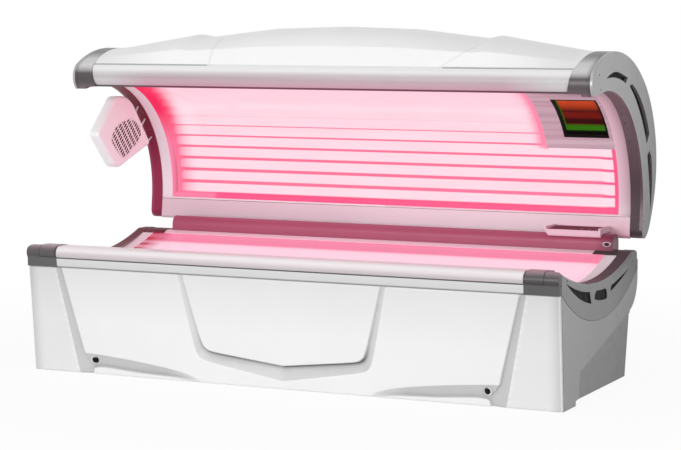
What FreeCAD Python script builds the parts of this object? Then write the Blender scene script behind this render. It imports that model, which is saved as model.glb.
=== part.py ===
import FreeCAD, Part
import math
import os

"""Clamshell tanning bed: a bench with a leaning front panel and moulded end trims, and a
C-shaped canopy that tilts about a hinge line behind the bench.

Working frame: X along the bed, Y from the foot of the front panel to the rear, Z up from the
floor, millimetres. Every solid is moved by ORIGIN_Y at the end, so that the exported frame has
its origin under the middle of the whole bed.
"""

# ---- overall -------------------------------------------------------------------------------
LENGTH = 2200.0            # over the end mouldings
CANOPY_BACK = 1102.0       # rearmost point of the open canopy
RAIL_OVERHANG = 50.0       # front rail in front of the panel's foot
WALL = 4.0                 # moulded panels and shells
SEAT_GAP = 0.3             # between pieces that are laid or slid against each other
BAND = 50.0                # width of the end mouldings, along X
STRIP = 50.0               # width of the pale strips inside them
HALF = LENGTH / 2
BAND_X = HALF - BAND       # inner edge of the end mouldings
STRIP_X = BAND_X - STRIP   # inner edge of the pale strips
ORIGIN_Y = (CANOPY_BACK - RAIL_OVERHANG) / 2

# ---- bench casing --------------------------------------------------------------------------
PANEL_TOP = 418.0          # top edge of the front panel
PANEL_LEAN = 38.0          # forward lean of the front panel over that height
PANEL_DEPTH = 24.0         # front panel with its stiffening walls
RELIEF_DEPTH = 18.0        # channel round the centre field
WING_DEPTH = 11.0          # channels round the outer fields
COLUMN_HEAD = 136.0        # columns at the panel's ends, at the top of the outer channels
COLUMN_FOOT = 202.0        # and at their feet
CHANNEL_HEAD = 14.0        # outer channels, from their edge to their deepest line
CHANNEL_FOOT = 30.0
CORNER_RETURN = 14.5       # front panel's return round the corners
FOOT_DEPTH = 145.0         # part of the end panels that reaches the floor
PANEL_WALL = 6.0           # end panels
RECESS = 3.5               # set-back of the end panels' lower rear field
RECESS_SLOPE = 2.0         # width of its step for each unit of its depth
RECESS_RISE = 108.0        # height of its slanting edge above the foot
RECESS_REAR = 262.0        # and at the rear knee
SKIRT_Z = 19.0             # lower edge of the end and rear panels
REAR_FOOT_Y = 727.0        # rear panel at its lower edge
REAR_KNEE = (774.0, 269.0)
REAR_BULGE = (840.0, 312.0)
REAR_SHOULDER = (866.0, 375.0)
REAR_TOP_Z = 478.0
RAIL_TOP = 499.0
RAIL_BOTTOM = 452.0
RAIL_BACK = 62.0
STRIP_BOTTOM = 420.0
CAP_WIDTH = 134.0
CAP_X = HALF - CAP_WIDTH   # inner end of the rail caps
CAP_SIDE_Y = -20.0         # rail caps give way to the end trims here
CAP_PROUD = 1.5
CAP_ROUND = 16.0           # upper outer ends of the rail caps

TRIM_FRONT = (-19.0, 498.0)
TRIM_DIP = (385.0, 421.0)
TRIM_REAR = (795.0, 492.0)
TRIM_REAR_Y = 866.0
SEAM_FRONT_Z = 419.0
SEAM_DIP = (415.0, 280.0)
SEAM_REAR_Z = 412.0
TRIM_RIM = 40.0
TRIM_ROUND = 12.0
CORNER_PLATE = 100.0
CORNER_PLATE_X = BAND_X - CORNER_PLATE   # rear corner plates of the end trims reach in to here

# ---- bench interior ------------------------------------------------------------------------
BENCH_R = 1050.0           # upper face of the bench acrylic
BENCH_Y = 380.0
BENCH_LOW = 406.0
BENCH_FRONT = RAIL_BACK + SEAT_GAP
BENCH_BACK = 765.0
ACRYLIC = 6.0
LAMP_R = 19.0
LAMP_GLASS = 1.2
LAMP_PITCH = 49.0
LAMP_DROP = 8.0            # between the acrylic and the lamps
LAMP_CAP = 18.0
HOLDER_X = STRIP_X - 37.0
HOLDER_T = 12.0
BENCH_LAMPS = 14
REFLECTOR_T = 1.5
REFLECTOR_GAP = 8.0
LEDGE_FRONT_Z = 480.0
LEDGE_BACK = 814.0
LEDGE_Z = 489.0
LEDGE_SLOPE = ((BENCH_BACK + SEAT_GAP, LEDGE_FRONT_Z - ACRYLIC),
               (BENCH_BACK + SEAT_GAP, LEDGE_FRONT_Z), (790.0, LEDGE_Z))

# ---- frame and machinery in the bench ------------------------------------------------------
TUBE = 40.0
TUBE_WALL = 2.5
FRAME_Z = 20.0
FRAME_FRONT = 40.0
FRAME_REAR = 700.0
STATION_END = STRIP_X - 30.0
STATION_MID = 330.0
STATIONS = (-STATION_END, -STATION_MID, STATION_MID, STATION_END)
DECK_Z = 331.0             # cross tubes under the lamps
HEAD_Z = 460.0             # rear head tube
HEAD_Y = 842.0
TRAY_T = 2.0
FOOT_R = 25.0
FOOT_T = 8.0
STUD_R = 6.0
FAN_X = 460.0
FAN_SIZE = 200.0
FAN_DEPTH = 56.0
FAN_R = 90.0
FAN_TIP_GAP = 2.0
SHAFT_R = 5.0
SHAFT_FIT = 0.05
BLADES = 7
GLAND_X = 100.0 - STRIP_X
GLAND_Z = 90.0
GLAND_HOLE_R = 6.5

# ---- hinge line ----------------------------------------------------------------------------
HINGE_Y = 835.0
HINGE_Z = 515.0
BAR_R = 10.0
BAR_FIT = 0.05
EAR_R = 17.0
EAR_T = 8.0
ARM_X = STRIP_X - 100.0
ARM_T = 16.0
ARM_GAP = 0.5
TRUNK_R = 33.0             # rounded front of the hinge cover
TRUNK_T = 3.0
TRUNK_LEFT = STRIP_X - 70.0
TRUNK_RIGHT = BAND_X - 30.0
TOWER = 48.0               # thicker end of the hinge cover, where the canopy's cables cross
TOWER_X = TRUNK_RIGHT - TOWER
TOWER_R = 37.0
SOCKET_R = 8.0

# ---- canopy --------------------------------------------------------------------------------
ARC_Y = 467.0
ARC_Z = 660.0
ARC_R = 462.0              # inner face of the canopy acrylic
RIM_T = 4.0                # dark lining of the end plates
CREST_END = 1262.0
CREASE_END_Y = 380.0       # the crease where it meets the corner caps
CREST_WING = 1318.0
CREST_VALLEY = 1308.0
CREST_SHOULDER = 1342.0
CREST_CENTRE = 1351.0
WING_X = 650.0
VALLEY_X = 600.0
SHOULDER_X = 300.0
TIP = (318.0, 1100.0)
BROW = (330.0, 1204.0)
CREST_Y = 560.0
CREASE_SHARE = 0.5         # height of the shell's crease between groove and crest
CREASE_SLOPE = 0.58        # depth of the front facet for each unit of its height
GROOVE = (336.0, 1204.0)
BACK_LOW = (1069.0, 662.0)
HEEL = (1019.0, 571.0)
CANOPY_BOTTOM = 528.0
CORNER_TOP = (921.0, 562.0)   # lower front corner of the end plates' lining
CORNER_MID = (928.7, 541.5)
CORNER_FOOT_Y = 950.0
PLATE_T = 12.0
PLATE_ROUND = 5.0
PLATE_X = HALF - PLATE_T
CORNER_X = HALF - 102.0    # inner end of the corner caps at their foot
CAP_SLANT = 0.2            # their joint moves outwards by this share of the height
CORNER_BACK = 700.0        # corner caps end here, behind the crest
LIP_SCREW_X = CORNER_X - 90.0
RAIL_LOW = 1110.0
LIP_BACK = 372.0
ARC_LOW = -5.0             # degrees, lower edge of the lit sheet
ARC_HIGH = 93.0            # degrees, where the sheet runs flat to the lip
FACIAL_X = STRIP_X - 278.0
FACIAL_LOW = 28.0
WINDOW_X = (FACIAL_X + 80.0, STRIP_X - 14.0)
WINDOW_ARC = (34.5, 64.0)
CANOPY_LAMPS = 17
LONG_LAMPS = 5
HOLDER_HIGH = 100.0        # degrees, upper end of the lamp holder plates
CANOPY_ACRYLIC = 5.0
SHROUD_FOOT = (918.0, 540.0)
RIB_DEPTH = 40.0
RIB_T = 6.0
CONSOLE_WIDTH = 230.0
CONSOLE_X = (TOWER_X - 2.0 - CONSOLE_WIDTH, TOWER_X - 2.0)
CONSOLE_LOW = 538.0
CONSOLE_LIP = CONSOLE_LOW + 27.0   # front edge of its sloping top
CONSOLE_TOP = CONSOLE_LIP + 9.0    # rim at the console's ends
CONSOLE_SLOPE = 2.5        # degrees
CONSOLE_RIM = 9.0
CONSOLE_SHEAR = 18.0       # slant of its left end
CONSOLE_FRONT = 797.0
CONSOLE_REACH = TRUNK_R + 3.5      # its underside clears the hinge cover
DISPLAY_T = 2.0
DISPLAY_Y = (CONSOLE_FRONT + 5.0, CONSOLE_FRONT + 108.0)
KEY_PITCH = 30.0
KEY_Y = CONSOLE_FRONT + 30.0
KEY_R = 6.0
KEY_FIT = 0.1
KEY_PROUD = 1.6
KEY_DEPTH = 7.0
POD_X = (BAND_X + 2.0, HALF - 6.0)
POD_EDGE = 14.0            # rounding of the pod's inner face
POD_GRILLE = (637.0, 885.0)
POD_GRILLE_TURN = 41.5     # degrees, slant of the grille's columns
POD_COLUMNS = 7
POD_COLUMN_PITCH = 31.0
POD_SLOT = (22.0, 8.0)
POD_SLOT_PITCH = 14.0
COOLER_SIZE = 112.0
COOLER_R = 50.0

SCREW_R = 4.0
LOCK_X = HALF - 276.0
LOCK_Z = 57.0
LOCK_R = 14.0
LOCK_BRACKET = (26.0, 29.0)
TONGUE = 22.0


def vector(x, y, z):
    return FreeCAD.Vector(x, y, z)


def outline(start, *steps):
    """Closed wire in the YZ plane. A pair is the end of a straight run, and a pair of pairs is
    the middle and the end of an arc."""
    edges = []
    here = start
    for step in steps:
        if isinstance(step[0], tuple):
            mid, end = step
            arc = Part.Arc(vector(0, *here), vector(0, *mid), vector(0, *end))
            edges.append(arc.toShape())
        else:
            end = step
            edges.append(Part.makeLine(vector(0, *here), vector(0, *end)))
        here = end
    if here != start:
        edges.append(Part.makeLine(vector(0, *here), vector(0, *start)))
    return Part.Wire(edges)


def prism(wire, x_low, x_high):
    """Solid between two X planes."""
    face = Part.Face(wire)
    face.translate(vector(x_low, 0, 0))
    return face.extrude(vector(x_high - x_low, 0, 0))


def hollow_prism(wire, wall, x_low, x_high):
    """Open-ended extrusion with an even wall."""
    inner = wire.makeOffset2D(-wall)
    return prism(wire, x_low, x_high).cut(prism(inner, x_low - 1, x_high + 1))


def box(x, y, z):
    """Box from three (low, high) pairs."""
    return Part.makeBox(x[1] - x[0], y[1] - y[0], z[1] - z[0], vector(x[0], y[0], z[0]))


def rod(start, direction, radius, length):
    return Part.makeCylinder(radius, length, vector(*start), vector(*direction))


def mirrored(shape):
    """The same piece for the other end of the bed."""
    return shape.mirror(vector(0, 0, 0), vector(1, 0, 0))


def both_ends(shape):
    return Part.Compound([shape, mirrored(shape)])


def fused(shapes):
    whole = shapes[0].multiFuse(list(shapes[1:]))
    return whole.removeSplitter()


def edges_through(solid, x, points):
    """Edges in the plane at x that pass through one of the points."""
    found = []
    for edge in solid.Edges:
        flat = edge.BoundBox.XLength < 0.01 and abs(edge.BoundBox.XMin - x) < 0.01
        if flat and any(edge.distToShape(Part.Vertex(x, *point))[0] < 0.5 for point in points):
            found.append(edge)
    return found


def polar(centre, radius, degrees):
    angle = math.radians(degrees)
    return (centre[0] + radius * math.cos(angle), centre[1] + radius * math.sin(angle))


def sector(centre, r_low, r_high, a_low, a_high, x_low, x_high):
    """Curved sheet round an X axis."""
    middle = (a_low + a_high) / 2
    wire = outline(
        polar(centre, r_low, a_low),
        (polar(centre, r_low, middle), polar(centre, r_low, a_high)),
        polar(centre, r_high, a_high),
        (polar(centre, r_high, middle), polar(centre, r_high, a_low)),
    )
    return prism(wire, x_low, x_high)


def tube(x, y, z, axis):
    """Square steel tube, open at the ends of its axis."""
    solid = box(x, y, z)
    spans = [list(x), list(y), list(z)]
    for index, span in enumerate(spans):
        grow = 1.0 if index == axis else -TUBE_WALL
        span[0] -= grow
        span[1] += grow
    return solid.cut(box(*spans))


def lamp(y, z, x_low, x_high):
    """Fluorescent tube: a glass sleeve closed by a cap at each end."""
    ring = rod((x_low + LAMP_CAP, y, z), (1, 0, 0), LAMP_R, x_high - x_low - 2 * LAMP_CAP)
    bore = rod((x_low, y, z), (1, 0, 0), LAMP_R - LAMP_GLASS, x_high - x_low)
    caps = [rod((x, y, z), (1, 0, 0), LAMP_R, LAMP_CAP) for x in (x_low, x_high - LAMP_CAP)]
    return [ring.cut(bore)] + caps


# ---- bench outlines ------------------------------------------------------------------------
BENCH_CENTRE = (BENCH_Y, BENCH_LOW + BENCH_R)


def bench_angle(y, radius=BENCH_R):
    """Polar angle, in degrees, of the point of the bench arc at depth y."""
    return -90.0 + math.degrees(math.asin((y - BENCH_Y) / radius))


def bench_sheet(r_low, r_high, y_low, y_high, x_low, x_high):
    """Curved sheet whose lower face spans y_low to y_high."""
    return sector(BENCH_CENTRE, r_low, r_high, bench_angle(y_low, r_high),
                  bench_angle(y_high, r_high), x_low, x_high)


def front_y(z):
    """Outer face of the front panel at height z."""
    return -PANEL_LEAN * z / PANEL_TOP


def rail_section(proud):
    """Rounded front rail, grown by proud on its outside."""
    top = RAIL_TOP + proud
    front = -RAIL_OVERHANG + CAP_PROUD - proud
    return outline(
        (front + 6, RAIL_BOTTOM),
        ((front, RAIL_BOTTOM + 24), (front + 26, top)),
        (24.0, top),
        ((RAIL_BACK - 10, top - 10), (RAIL_BACK, RAIL_BOTTOM + 12)),
        (RAIL_BACK, RAIL_BOTTOM),
    )


def trim_top(drop, front):
    """Points of the upper edge of an end trim, lowered by drop."""
    return (
        (front, TRIM_FRONT[1] - drop),
        (161.0, 446.0 - drop),
        (TRIM_DIP[0], TRIM_DIP[1] - drop),
        (640.0, 446.0 - drop),
        (TRIM_REAR[0], TRIM_REAR[1] - drop),
    )


def seam_steps():
    """Arc of the seam between an end trim and its end panel, from the rear to the front."""
    return (SEAM_DIP, (CAP_SIDE_Y + SEAT_GAP, SEAM_FRONT_Z))


def front_panel():
    """Leaning cover with three fields divided by channels, stiffened behind them. It is
    built upright and then leaned forward about its lower outer edge."""
    lean = math.degrees(math.atan(PANEL_LEAN / PANEL_TOP))
    height = PANEL_TOP / math.cos(math.radians(lean)) + 2
    solid = box((-HALF, HALF), (0, PANEL_DEPTH), (0, height))
    corners = [e for e in solid.Edges
               if e.BoundBox.YMax < 0.01 and abs(e.BoundBox.ZLength - height) < 0.01]
    solid = solid.makeFillet(6.0, corners)

    def field(points, y_low, y_high, shrink=0.0):
        wire = Part.makePolygon([vector(x, 0, z) for x, z in points + points[:1]])
        if shrink:
            wire = wire.makeOffset2D(-shrink, 2)
        face = Part.Face(wire)
        face.translate(vector(0, y_low, 0))
        return face.extrude(vector(0, y_high - y_low, 0))

    def symmetric(right):
        return right + [(-x, z) for x, z in reversed(right)]

    over = height + 10
    inner = symmetric([(411.0, over), (336.0, 158.0), (306.0, 128.0), (20.0, 88.0)])
    outer = symmetric([(430.0, over), (366.0, 162.0), (326.0, 101.0), (20.0, 40.0)])
    surface = Part.makePolygon([vector(x, -0.01, z) for x, z in outer + outer[:1]])
    deep = Part.makePolygon([vector(x, RELIEF_DEPTH, z) for x, z in inner + inner[:1]])
    channel = Part.makeLoft([surface, deep], True, True)
    solid = solid.cut(channel).fuse(field(inner, 0, PANEL_DEPTH).common(
        box((-HALF, HALF), (0, PANEL_DEPTH), (0, height))))

    head = HALF - COLUMN_HEAD
    foot = HALF - COLUMN_FOOT
    for side in (-1, 1):
        upright = [
            Part.makePolygon([vector(side * a, -0.01, z), vector(side * b, depth, z),
                              vector(side * b, -0.01, z), vector(side * a, -0.01, z)])
            for a, b, depth, z in ((foot, foot - CHANNEL_FOOT, WING_DEPTH, 84.0),
                                   (head, head - CHANNEL_HEAD, 5.0, over))
        ]
        skirting = [
            Part.makePolygon([vector(side * x, -0.01, top), vector(side * x, WING_DEPTH, low + 4),
                              vector(side * x, -0.01, low), vector(side * x, -0.01, top)])
            for x, top, low in ((foot - CHANNEL_HEAD, 87.0, 38.0), (420.0, 46.0, 25.0),
                                (352.0, 9.0, 5.0))
        ]
        solid = solid.cut(Part.makeLoft(upright, True, True))
        solid = solid.cut(Part.makeLoft(skirting, True, True))

    top = height - 12
    pockets = [symmetric([(390.0, top), (322.0, 172.0), (296.0, 142.0), (20.0, 104.0)])]
    for side in (-1, 1):
        pockets.append([(side * x, z) for x, z in
                        ((head - 39, top), (foot - 34, 104.0), (440.0, 66.0), (400.0, 130.0),
                         (450.0, top))])
        pockets.append([(side * x, z) for x, z in
                        ((HALF - 12, top), (head + 16, top), (foot + 16, 12.0),
                         (HALF - 12, 12.0))])
    for pocket in pockets:
        solid = solid.cut(field(pocket, WALL, PANEL_DEPTH + 1))

    for side in (-1, 1):
        solid = solid.cut(rod((side * LOCK_X, -1, LOCK_Z), (0, 1, 0), LOCK_R + SEAT_GAP, 4.5))
        solid = solid.cut(rod((side * LOCK_X, -1, LOCK_Z), (0, 1, 0), STUD_R + 0.1, 40))
        ends = sorted((side * (HALF - PANEL_WALL - SEAT_GAP), side * (HALF + 1)))
        solid = solid.cut(box(ends, (CORNER_RETURN, PANEL_DEPTH + 1), (-1, over)))
    solid.rotate(vector(0, 0, 0), vector(1, 0, 0), lean)
    above = box((-HALF - 1, HALF + 1), (-99, 99), (PANEL_TOP - SEAT_GAP, PANEL_TOP + 50))
    return solid.cut(above)


def panel_lock(side):
    """Quarter-turn stud: slotted head, shank and tongue behind the frame's bracket."""
    lean = math.degrees(math.atan(PANEL_LEAN / PANEL_TOP))
    x = side * LOCK_X
    head = rod((x, -1.5, LOCK_Z), (0, 1, 0), LOCK_R, 4.7)
    head = head.cut(box((x - 1.5, x + 1.5), (-2, 0), (LOCK_Z - 10, LOCK_Z + 10)))
    back = LOCK_BRACKET[1] + SEAT_GAP
    shank = rod((x, 3, LOCK_Z), (0, 1, 0), STUD_R, back)
    tongue = box((x - TONGUE, x + 7), (back, back + WALL), (LOCK_Z - 7, LOCK_Z + 7))
    lock = fused([head, shank, tongue])
    lock.rotate(vector(0, 0, 0), vector(1, 0, 0), lean)
    return lock


def lock_bracket(side):
    """Plate of the frame with a keyhole for the tongue of a panel lock."""
    lean = math.degrees(math.atan(PANEL_LEAN / PANEL_TOP))
    x = side * LOCK_X
    plate = box((x - 30, x + 30), LOCK_BRACKET, (20, 88))
    plate = plate.cut(box((x - 8, x + 8), (0, 50), (LOCK_Z - 9, LOCK_Z + TONGUE + 1)))
    plate.rotate(vector(0, 0, 0), vector(1, 0, 0), lean)
    web = box((x - 30, x + 30), (LOCK_BRACKET[0], FRAME_FRONT), (22, 25))
    return plate.fuse(web)


def end_panel():
    """Right end panel, with a shallow slanting recess."""
    lean_in = CORNER_RETURN + 1
    wire = outline(
        (lean_in, 0.0),
        (FOOT_DEPTH, 0.0),
        (FOOT_DEPTH, SKIRT_Z),
        (REAR_FOOT_Y, SKIRT_Z),
        REAR_KNEE,
        (REAR_BULGE, REAR_SHOULDER),
        (TRIM_REAR_Y, SEAM_REAR_Z - 1),
        (TRIM_REAR_Y - 20, SEAM_REAR_Z - 1),
        ((SEAM_DIP[0], SEAM_DIP[1] - 1), (front_y(SEAM_FRONT_Z) + lean_in, SEAM_FRONT_Z - 1)),
    )
    return prism(wire, HALF - PANEL_WALL, HALF).cut(end_recess())


def end_recess():
    """Lower rear field of the right end panel: it is set back behind a sloping step and runs
    out at the panel's lower and rear edges."""
    slant = (RECESS_REAR - RECESS_RISE) / (REAR_KNEE[0] - FOOT_DEPTH)
    beyond = TRIM_REAR_Y + 40
    wire = outline(
        (FOOT_DEPTH + 8, SKIRT_Z - 19), (FOOT_DEPTH + 35, SKIRT_Z + 34),
        ((FOOT_DEPTH + 48, RECESS_RISE - 5), (FOOT_DEPTH + 74, RECESS_RISE + 74 * slant)),
        (beyond, RECESS_REAR + (beyond - REAR_KNEE[0]) * slant), (beyond, SKIRT_Z - 19))
    run = RECESS_SLOPE
    face = Part.Face(wire)
    face.translate(vector(HALF + 1, -run, run))
    depth = RECESS + 1
    return face.extrude(vector(-depth, depth * run, -depth * run))


def rear_panel():
    """Rear cover with two fan outlets and the cable entry."""
    knee, bulge, shoulder = REAR_KNEE, REAR_BULGE, REAR_SHOULDER
    side_x = HALF - PANEL_WALL

    def skin(top_y, top_z, x):
        wire = outline(
            (REAR_FOOT_Y, SKIRT_Z), knee, (bulge, shoulder), (top_y, top_z),
            (top_y - WALL, top_z), (shoulder[0] - WALL, shoulder[1]),
            ((bulge[0] - WALL, bulge[1] + 2), (knee[0] - WALL, knee[1] + 2)),
            (REAR_FOOT_Y - WALL, SKIRT_Z))
        return prism(wire, -x, x)

    low = skin(TRIM_REAR_Y, SEAM_REAR_Z - 1, side_x)
    high = box((-BAND_X + SEAT_GAP, BAND_X - SEAT_GAP),
               (TRIM_REAR_Y - WALL, TRIM_REAR_Y), (SEAM_REAR_Z - 2, REAR_TOP_Z))
    flange = box((-BAND_X + SEAT_GAP, BAND_X - SEAT_GAP), (HINGE_Y + EAR_R + 2, TRIM_REAR_Y),
                 (REAR_TOP_Z - WALL, REAR_TOP_Z))
    panel = fused([low, high, flange])
    fan_z = FRAME_Z + TUBE + FAN_SIZE / 2
    for side in (-1, 1):
        for row in range(-3, 4):
            z = fan_z + row * 24.0
            reach = math.sqrt(FAN_R ** 2 - (row * 24.0) ** 2) - 6
            x = side * FAN_X
            panel = panel.cut(box((x - reach, x + reach), (700, 800), (z - 7, z + 7)))
    return panel.cut(rod((GLAND_X, 700, GLAND_Z), (0, 1, 0), 12.0, 60))


def mains_gland():
    """Cable gland in the rear panel: nut, thread and clamping cap with the cable hole."""
    wall_y = REAR_FOOT_Y + (REAR_KNEE[0] - REAR_FOOT_Y) * (GLAND_Z - SKIRT_Z) / (
        REAR_KNEE[1] - SKIRT_Z)
    thread = rod((GLAND_X, wall_y - 16, GLAND_Z), (0, 1, 0), 11.8, 30)
    nut = rod((GLAND_X, wall_y - 16, GLAND_Z), (0, 1, 0), 16.0, 8)
    flange = rod((GLAND_X, wall_y + 3, GLAND_Z), (0, 1, 0), 17.0, 8)
    cap = rod((GLAND_X, wall_y + 9, GLAND_Z), (0, 1, 0), 14.0, 18)
    gland = fused([thread, nut, flange, cap])
    return gland.cut(rod((GLAND_X, wall_y - 30, GLAND_Z), (0, 1, 0), GLAND_HOLE_R, 80))


def front_rail():
    return hollow_prism(rail_section(0.0), 3.0, -CAP_X + SEAT_GAP, CAP_X - SEAT_GAP)


def rail_strip():
    """Flat strip between the front rail and the front panel."""
    low = front_y(STRIP_BOTTOM) - 3
    wire = outline((low, STRIP_BOTTOM), (low - 4, RAIL_BOTTOM - SEAT_GAP),
                   (low + 30, RAIL_BOTTOM - SEAT_GAP), (low + 30, RAIL_BOTTOM - 4),
                   (low, RAIL_BOTTOM - 4), (low + WALL, STRIP_BOTTOM))
    return prism(wire, -CAP_X + SEAT_GAP, CAP_X - SEAT_GAP)


def rail_cap():
    """Right rail cap: the rail's section with a skirt down to the panel, cut back where the
    end trim begins."""
    head = prism(rail_section(CAP_PROUD), CAP_X, HALF)
    low = front_y(PANEL_TOP) - 5
    skirt = prism(outline((low, PANEL_TOP), (-RAIL_OVERHANG + 6, RAIL_BOTTOM + 1),
                          (CAP_SIDE_Y, RAIL_BOTTOM + 1), (CAP_SIDE_Y, PANEL_TOP)), CAP_X, HALF)
    cap = fused([head, skirt]).common(cap_envelope())
    cap = cap.cut(box((BAND_X - SEAT_GAP, HALF + 1), (CAP_SIDE_Y, RAIL_BACK + 9),
                      (PANEL_TOP - 1, RAIL_TOP + 9)))
    core = box((CAP_X + 3, HALF - 4), (-38, CAP_SIDE_Y - 4), (PANEL_TOP + 4, RAIL_TOP - 8))
    cap = cap.cut(core)
    return cap.cut(rod((HALF - 6, -30, 453), (1, 0, 0), SCREW_R, 7))


def cap_envelope():
    """Rounds the upper outer end of the right rail cap."""
    top = RAIL_TOP + CAP_PROUD
    inner = HALF - CAP_ROUND
    turn = CAP_ROUND * (1 - math.sqrt(0.5))
    y = -2 * RAIL_OVERHANG
    arc = Part.Arc(vector(HALF, y, top - CAP_ROUND), vector(HALF - turn, y, top - turn),
                   vector(inner, y, top))
    rest = Part.makePolygon([vector(x, y, z) for x, z in (
        (inner, top), (CAP_X - 9, top), (CAP_X - 9, PANEL_TOP - 9), (HALF, PANEL_TOP - 9),
        (HALF, top - CAP_ROUND))])
    face = Part.Face(Part.Wire([arc.toShape()] + rest.Edges))
    return face.extrude(vector(0, RAIL_BACK - y + 9, 0))


def rail_cap_cover():
    """Right cover plate let over the front and top of a rail cap."""
    outer = prism(rail_section(CAP_PROUD + 1.2), CAP_X + 4, CAP_X + 78)
    outer = outer.cut(prism(rail_section(CAP_PROUD + SEAT_GAP), CAP_X, HALF))
    return outer.cut(box((CAP_X, HALF), (14, 99), (PANEL_TOP, RAIL_TOP + 9))).cut(
        box((CAP_X, HALF), (-99, 99), (0, RAIL_BOTTOM + 4)))


TRIM_VENTS = (
    ((26.0, 456.0), ((160.0, 416.0), (286.0, 396.0)), (308.0, 350.0),
     ((170.0, 385.0), (26.0, 456.0))),
    ((344.0, 362.0), ((356.0, 387.0), (384.0, 390.0)), (452.0, 388.0),
     ((478.0, 382.0), (486.0, 349.0)), ((415.0, 350.0), (344.0, 362.0))),
    ((532.0, 370.0), ((538.0, 389.0), (560.0, 394.0)), ((655.0, 412.0), (749.0, 432.0)),
     ((640.0, 396.0), (532.0, 370.0))),
)
TRIM_SCREWS = ((37.0, 464.0), (800.0, 455.0))


def end_trim():
    """Right end trim: outer wall with three vents, rounded rim, inner wall and a rear corner
    plate."""
    a, b, c, d, e = trim_top(0.0, CAP_SIDE_Y + SEAT_GAP)
    la, lb, lc, ld, le = trim_top(TRIM_RIM, CAP_SIDE_Y + SEAT_GAP)
    rear = (TRIM_REAR_Y - 14, TRIM_REAR[1])
    shoulder = (TRIM_REAR_Y - 4, TRIM_REAR[1] - 4)
    back = (TRIM_REAR_Y, TRIM_REAR[1] - 14)
    rim = prism(outline(a, (b, c), (d, e), rear, (shoulder, back), (TRIM_REAR_Y, le[1]), le,
                        (ld, lc), (lb, la)), BAND_X, HALF)
    on_top = (b, d, (rear[0] - 9, rear[1]), shoulder)
    rim = rim.makeFillet(TRIM_ROUND, edges_through(rim, HALF, on_top))
    ka, kb, kc, kd, ke = trim_top(TRIM_RIM + 1, CAP_SIDE_Y + 4)
    ta, tb, tc, td, te = trim_top(TRIM_ROUND + 1.0, CAP_SIDE_Y + 4)
    hollow = prism(outline(ta, (tb, tc), (td, te), (TRIM_REAR_Y - 5, te[1]),
                           (TRIM_REAR_Y - 5, ke[1]), ke, (kd, kc), (kb, ka)),
                   BAND_X + WALL, HALF - WALL)
    rim = rim.cut(hollow)
    mid, end = seam_steps()
    wall = prism(outline(
        (CAP_SIDE_Y + SEAT_GAP, la[1] + 5), ((lb[0], lb[1] + 5), (lc[0], lc[1] + 5)),
        ((ld[0], ld[1] + 5), (le[0], le[1] + 5)), (TRIM_REAR_Y, le[1] + 5),
        (TRIM_REAR_Y, SEAM_REAR_Z), (TRIM_REAR_Y - 20, SEAM_REAR_Z), (mid, end)),
        HALF - WALL, HALF)
    corner = prism(outline(*LEDGE_SLOPE, (TRIM_REAR_Y, LEDGE_Z), (TRIM_REAR_Y, LEDGE_Z - WALL),
                           (LEDGE_SLOPE[-1][0] + 2, LEDGE_Z - WALL)),
                   CORNER_PLATE_X, BAND_X - SEAT_GAP)
    bridge = box((BAND_X - 1, BAND_X + WALL), (TRIM_REAR[0], TRIM_REAR_Y),
                 (LEDGE_Z - WALL, LEDGE_Z))
    trim = fused([rim, wall, corner, bridge])
    for vent in TRIM_VENTS:
        trim = trim.cut(prism(outline(*vent), HALF - 30, HALF + 1))
    for y, z in TRIM_SCREWS:
        trim = trim.cut(rod((HALF - 6, y, z), (1, 0, 0), SCREW_R, 7))
    return trim


def slotted_plate(vent, x_low, x_high, pitch, upright):
    """Plate behind a vent, with a row of slots that stop short of the vent's edge."""
    edge = outline(*vent)
    bounds = edge.BoundBox
    span = (bounds.YMin, bounds.YMax) if upright else (bounds.ZMin, bounds.ZMax)
    count = int((span[1] - span[0]) // pitch)
    gap = pitch * 0.2
    bars = []
    for step in range(1, count + 1):
        place = span[0] + step * pitch - pitch / 2
        across = (place - gap, place + gap)
        y_span = across if upright else (bounds.YMin, bounds.YMax)
        z_span = (bounds.ZMin, bounds.ZMax) if upright else across
        bars.append(box((x_low - 1, x_high + 1), y_span, z_span))
    inside = prism(edge.makeOffset2D(-3.0), x_low - 1, x_high + 1)
    slots = Part.Compound(bars).common(inside)
    return prism(edge.makeOffset2D(4.0), x_low, x_high).cut(slots)


def trim_grille():
    """Slotted plates behind the vents of the right end trim."""
    return [slotted_plate(vent, HALF - WALL - 3, HALF - WALL, 14.0, True) for vent in TRIM_VENTS]


def bench_end_strip():
    """Right pale strip beside the bench acrylic, with a ledge that carries its end."""
    face = bench_sheet(BENCH_R, BENCH_R + 2 * ACRYLIC, BENCH_FRONT, BENCH_BACK,
                       STRIP_X + SEAT_GAP, BAND_X)
    ledge = bench_sheet(BENCH_R + ACRYLIC + SEAT_GAP, BENCH_R + 2 * ACRYLIC, BENCH_FRONT,
                        BENCH_BACK, STRIP_X - 15, STRIP_X + SEAT_GAP)
    return fused([face, ledge])


def bench_acrylic():
    return bench_sheet(BENCH_R, BENCH_R + ACRYLIC, BENCH_FRONT, BENCH_BACK, -STRIP_X, STRIP_X)


def rear_ledge():
    """Pale ledge behind the bench acrylic, with a lip under the acrylic's rear edge."""
    wire = outline(*LEDGE_SLOPE, (LEDGE_BACK, LEDGE_Z), (LEDGE_BACK, LEDGE_Z - WALL), (806.0, LEDGE_Z - WALL),
                   (806.0, HEAD_Z), (802.0, HEAD_Z), (802.0, LEDGE_Z - WALL),
                   (792.0, LEDGE_Z - WALL))
    return prism(wire, -CORNER_PLATE_X + SEAT_GAP, CORNER_PLATE_X - SEAT_GAP)


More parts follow.
